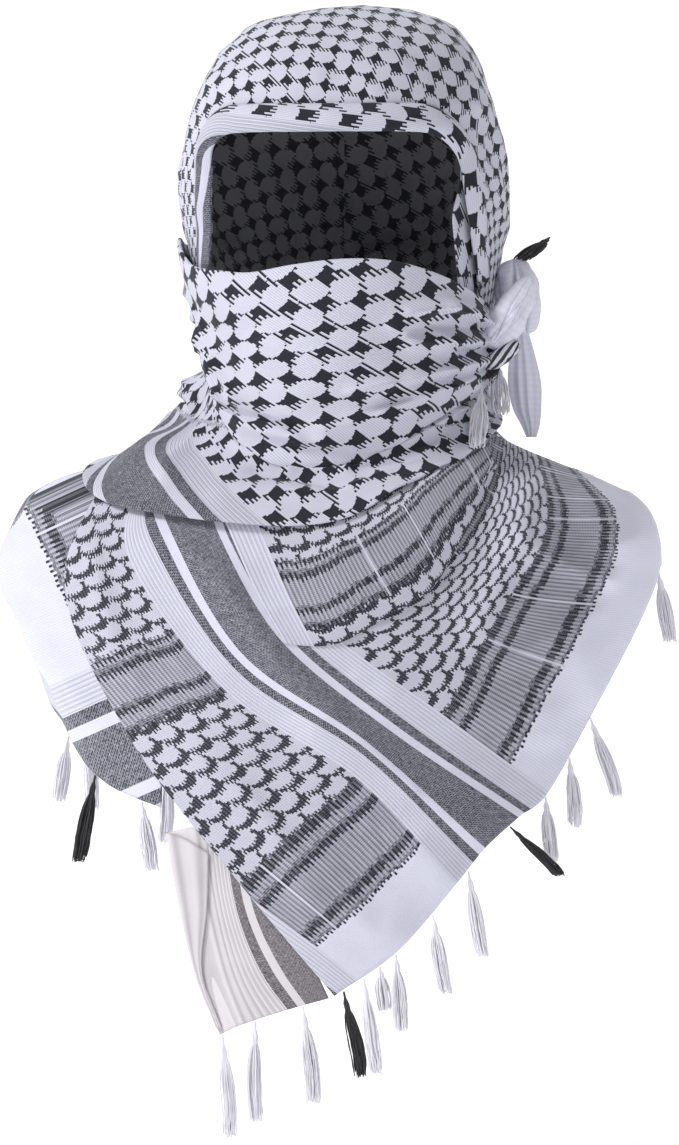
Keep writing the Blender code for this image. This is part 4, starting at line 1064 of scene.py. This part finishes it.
def swag_lift(x, drop, along, across):
    """The swag lies on the drape and swells between its lower fold and the neck."""
    swell = SWAG_SWELL * np.sin(math.pi * across ** 0.8) * (1 - 0.6 * fade(along, 0.6, 1.0))
    fine = fold_lift(SWAG_FINE_FOLDS, x, drop) * np.sin(math.pi * across)
    stand_off = (LAYER + SWAG_GAP) * (0.5 + 0.5 * fade(along, 0.05, 0.25))
    return chest_lift(x, drop) + stand_off + swell * fade(along, 0, 0.3) + fine


swag_net = weave_net(SWAG_WEAVE, SWAG_FROM_HEM)
points, place = net_sheet(SWAG, swag_net, swag_lift, columns=101, rows=71)
points, place = turn_under(points, place, side=2, radius=1.0, depth=5)
swag = sheet_mesh("swag_cloth", points, place, material=drape_cotton)
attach(swag, "root")
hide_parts("chest_swag")

# Turned corner. The lowest corner of the square, folded back under the drape, so that its
# paler inner face shows, with a narrow strip of the outer face turned over at its left.
UNDER = (
    (-74, 616, -88, 583, -98, 541, -106, 496), (-61, 610, -71, 577, -79, 535, -83, 493),
    (-34, 601, -44, 577, -53, 544, -59, 508), (-9, 594, -17, 577, -26, 556, -35, 532),
)
UNDER_WEAVE = ((-43.9, -43.6, -43.2, -43), (-43, -42, -41, -40), (-28, -22, -15, -12), (4, 9, 15, 18))
UNDER_FOLD = (
    (-76, 612, -89, 578, -98, 541, -106, 496), (-75, 612, -87, 578, -90, 541, -95, 500),
    (-74, 612, -85, 578, -82, 541, -81, 508),
)
UNDER_FROM_HEM = (0, 36, 78, 124)
UNDER_LIFT = 1.8


def under_lift(x, drop, along, across):
    """The corner lies just inside the drape, and stands off less at its left fold."""
    rise = 1.5 * fade(x, -78, -55) + 0.6 * fade(x, -60, -50) * (1 - fade(drop, 530, 545))
    return UNDER_LIFT + rise


def under_fold_lift(x, drop, along, across):
    """The strip turned over at the left lies on the corner."""
    return under_lift(x, drop, along, across) + LAYER


PALE_WHITE, PALE_BLACK = (0.80, 0.755, 0.80), (0.075, 0.06, 0.075)
pale_cotton = woven_cotton("inner_face_cotton", last_band=ONE_BAND, white=PALE_WHITE, black=PALE_BLACK)
under_net = weave_net(UNDER_WEAVE, UNDER_FROM_HEM)
points, place = net_sheet(UNDER, under_net, under_lift, columns=61, rows=61)
under = sheet_mesh("corner_cloth", points, place, material=pale_cotton)
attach(under, "root")
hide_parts("under_panel")
tassels("tassel_under")

strip_net = weave_net([(line,) * 4 for line in (-43, -41, -39)], UNDER_FROM_HEM)
points, place = net_sheet(UNDER_FOLD, strip_net, under_fold_lift, columns=21, rows=61)
points, place = turn_under(points, place, side=3, radius=0.7, depth=3)
turned_strip = sheet_mesh("corner_turned_strip", points, place, material=pale_cotton)
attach(turned_strip, "root")
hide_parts("under_fold")

# Knot. Both ends of the scarf tied at the right: a gathered puff on the hood, the band of
# cloth that passes over it, the loop of white and black yarn below, and the hanging end.
PLAIN_WHITE = (0.80, 0.80, 0.92)
# A place in the white hem, where the weave has no pattern
PLAIN_ACROSS, PLAIN_FROM_HEM = -400, 12
plain_white = woven_cotton("white_cotton", white=PLAIN_WHITE)


def knot_lump(name, node, offset, axis, sizes, pleats, depth, seed, taper=0.0, stripes=0):
    """Gathered roll of cloth near its solid, its pleats running along its axis."""
    low, high = (np.array(corner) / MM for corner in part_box(node))
    centre = (low + high) / 2 + np.array(offset, float)
    axis = unit(np.array(axis, float))
    side = unit(np.cross(axis, (0.0, -1.0, 0.0)))
    front = np.cross(side, axis)
    rows, columns = 91, 217
    rise = np.linspace(0.004, math.pi - 0.004, rows)
    rise, angle = np.meshgrid(rise, np.linspace(0, 2 * math.pi, columns), indexing="ij")
    dice = np.random.default_rng(seed)
    groove = 0.0
    for _ in range(pleats):
        spot, drift = dice.uniform(0, 2 * math.pi), dice.uniform(-0.7, 0.7)
        gap = np.angle(np.exp(1j * (angle - spot - drift * np.cos(rise))))
        width, share = dice.uniform(0.08, 0.2), dice.uniform(0.4, 1)
        groove = np.maximum(groove, np.exp(-(abs(gap) / width) ** 1.2) * share)
    crumple = sum(
        np.sin(dice.uniform(2, 6) * rise * 2 + round(dice.uniform(1, 5)) * angle + dice.uniform(0, 7))
        for _ in range(7))
    girth = np.sin(rise) ** 0.75 * (1 + taper * np.cos(rise)) * (1 - depth * groove + 0.018 * crumple)
    parts = (np.cos(rise), axis), (girth * np.cos(angle), side), (girth * np.sin(angle), front)
    points = centre
    for (reach, way), size in zip(parts, sizes):
        points = points + (reach * size)[..., None] * way
    place = np.stack((angle * 12 + PLAIN_ACROSS, PLAIN_FROM_HEM + rise * 6), -1)
    lump = sheet_mesh(name, points, place, closed=True, material=plain_white, wall=0)
    if stripes:
        lump.data.materials.append(black_thread)
        band = ((angle[:-1, :-1] + 0.8 * rise[:-1, :-1]) * stripes / (2 * math.pi)) % 1.0
        lump.data.polygons.foreach_set("material_index", (band > 0.5).astype(int).ravel().tolist())
    return lump


for name, node, *shape in (
        ("knot_gathered_puff", "knot_puff", (0, 1, -1), (-0.2, 0, 1), (23, 14.5, 12), 18, 0.42, 31, 0.05),
        ("knot_crossing_band", "knot_band", (-1, -1, 1), (0.5, 0, 0.87), (25, 11, 10), 9, 0.20, 36, -0.3),
        ("knot_lower_loop", "knot_loop", (1, -1, 0), (0.8, 0, 0.6), (13, 5.5, 6), 5, 0.22, 33, 0.0, 7)):
    lump = knot_lump(name, node, *shape)
    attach(lump, "root")
    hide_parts(node)

# The hanging end, from the bottom of the puff: drop, left and right, forward, fold depth
KNOT_TAIL = ((0, -5, 5, 0, 1), (14, -6, 9, -1, 2.5), (32, -7, 13, -3, 3.5), (48, -4, 13, -4, 3.5),
             (58, 1, 12, -5, 2.5), (65, 4, 10, -6, 1))
low, high = (np.array(corner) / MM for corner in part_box("knot_puff"))
start = np.array(((low[0] + high[0]) / 2, (low[1] + high[1]) / 2, low[2] - 0.5))
below = np.linspace(0, KNOT_TAIL[-1][0], 91)[:, None]
left, right, forward, depth = (column[:, None] for column in blend(KNOT_TAIL, below[:, 0]).T)
share = np.linspace(0, 1, 61)[None, :]
pleat = (0.5 * depth * (1 - np.cos(2 * math.pi * share))
         + 0.28 * depth * np.sin(7 * math.pi * share + below * 0.03) * np.sin(math.pi * share))
points = start + np.stack((left + (right - left) * share, forward - pleat, -below + 0 * share), -1)
place = np.stack((60 * share + 0 * below + PLAIN_ACROSS, PLAIN_FROM_HEM + 0.3 * below + 0 * share), -1)
tail = sheet_mesh("knot_hanging_end", points, place, material=plain_white)
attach(tail, "root")
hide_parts("knot_tail")
tassels("knot_strands", threads=46, spread=6.0, waviness=6.0)

# Floor, light and camera. A pale studio floor, broad soft light from the front left, and
# the camera level with the chest, as in the photograph.
FLOOR_GAP, FLOOR_FRONT, FLOOR_BACK, FLOOR_SIDE = 0.012, -12.0, 1.5, 9.0
SWEEP_RADIUS, WALL_TOP = 2.5, 9.0
VIEW_X, VIEW_Z = -0.0027, -0.3411
CAMERA_DISTANCE, SUBJECT_DEPTH = 9.0, 8.94
PHOTO_ROWS, PIXEL = 1145, 0.0006
SENSOR = 24.0

sweep = [(FLOOR_BACK + SWEEP_RADIUS * math.sin(angle), SWEEP_RADIUS - SWEEP_RADIUS * math.cos(angle))
         for angle in np.linspace(0.2, math.pi / 2, 9)]
profile = [(FLOOR_FRONT, 0.0), (FLOOR_BACK, 0.0), *sweep, (FLOOR_BACK + SWEEP_RADIUS, WALL_TOP)]
floor_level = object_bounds()[0][2] - FLOOR_GAP
floor_mesh = bpy.data.meshes.new("studio_floor")
floor_mesh.from_pydata([(x, y, z + floor_level) for y, z in profile for x in (-FLOOR_SIDE, FLOOR_SIDE)], [],
                       [(2 * i, 2 * i + 1, 2 * i + 3, 2 * i + 2) for i in range(len(profile) - 1)])
floor_mesh.polygons.foreach_set("use_smooth", [True] * len(floor_mesh.polygons))
floor = bpy.data.objects.new("studio_floor", floor_mesh)
bpy.context.scene.collection.objects.link(floor)
pale = bpy.data.materials.new("pale_floor")
pale.use_nodes = True
paint = pale.node_tree.nodes["Principled BSDF"]
paint.inputs["Base Color"].default_value = (0.90, 0.90, 0.91, 1)
paint.inputs["Roughness"].default_value = 0.9
paint.inputs["Emission Color"].default_value = (1, 1, 1, 1)
paint.inputs["Emission Strength"].default_value = 0.42
# The wall is seen from its front only, so that views from behind aren't blocked
wall_back = pale.node_tree.nodes.new("ShaderNodeNewGeometry")
clear = pale.node_tree.nodes.new("ShaderNodeBsdfTransparent")
one_sided = pale.node_tree.nodes.new("ShaderNodeMixShader")
pale.node_tree.links.new(wall_back.outputs["Backfacing"], one_sided.inputs[0])
pale.node_tree.links.new(paint.outputs[0], one_sided.inputs[1])
pale.node_tree.links.new(clear.outputs[0], one_sided.inputs[2])
pale.node_tree.links.new(one_sided.outputs[0], pale.node_tree.nodes["Material Output"].inputs["Surface"])
floor_mesh.materials.append(pale)

world = bpy.data.worlds.new("studio")
world.use_nodes = True
world.node_tree.nodes["Background"].inputs["Color"].default_value = (1.0, 1.0, 1.0, 1)
seen = world.node_tree.nodes.new("ShaderNodeLightPath")
strength = world.node_tree.nodes.new("ShaderNodeMapRange")
strength.inputs["To Min"].default_value = 0.33
strength.inputs["To Max"].default_value = 0.95
world.node_tree.links.new(seen.outputs["Is Camera Ray"], strength.inputs["Value"])
world.node_tree.links.new(strength.outputs[0], world.node_tree.nodes["Background"].inputs["Strength"])
bpy.context.scene.world = world

for name, spot, aim, size, power in (
        ("key", (-2.4, -1.15, 1.95), (0, 0, -0.3), 0.9, 82),
        ("fill", (1.9, -2.4, 0.5), (0, 0, -0.35), 2.0, 9),
        ("rim", (0.6, 2.2, 1.2), (0, 0, -0.3), 1.6, 16)):
    lamp = bpy.data.lights.new(name, "AREA")
    lamp.size, lamp.energy = size, power
    light = bpy.data.objects.new(name, lamp)
    light.location = spot
    x, y, z = np.array(aim) - np.array(spot)
    light.rotation_euler = (math.atan2(math.hypot(x, y), -z), 0, math.atan2(y, x) - math.pi / 2)
    bpy.context.scene.collection.objects.link(light)

lens = bpy.data.cameras.new("photo_view")
lens.sensor_fit = "VERTICAL"
lens.sensor_height = SENSOR
lens.lens = SENSOR * SUBJECT_DEPTH / (PHOTO_ROWS * PIXEL)
camera = bpy.data.objects.new("photo_view", lens)
camera.location = (VIEW_X, -CAMERA_DISTANCE, VIEW_Z)
camera.rotation_euler = (math.pi / 2, 0, 0)
bpy.context.scene.collection.objects.link(camera)
bpy.context.scene.camera = camera
bpy.context.scene.view_settings.view_transform = "Standard"
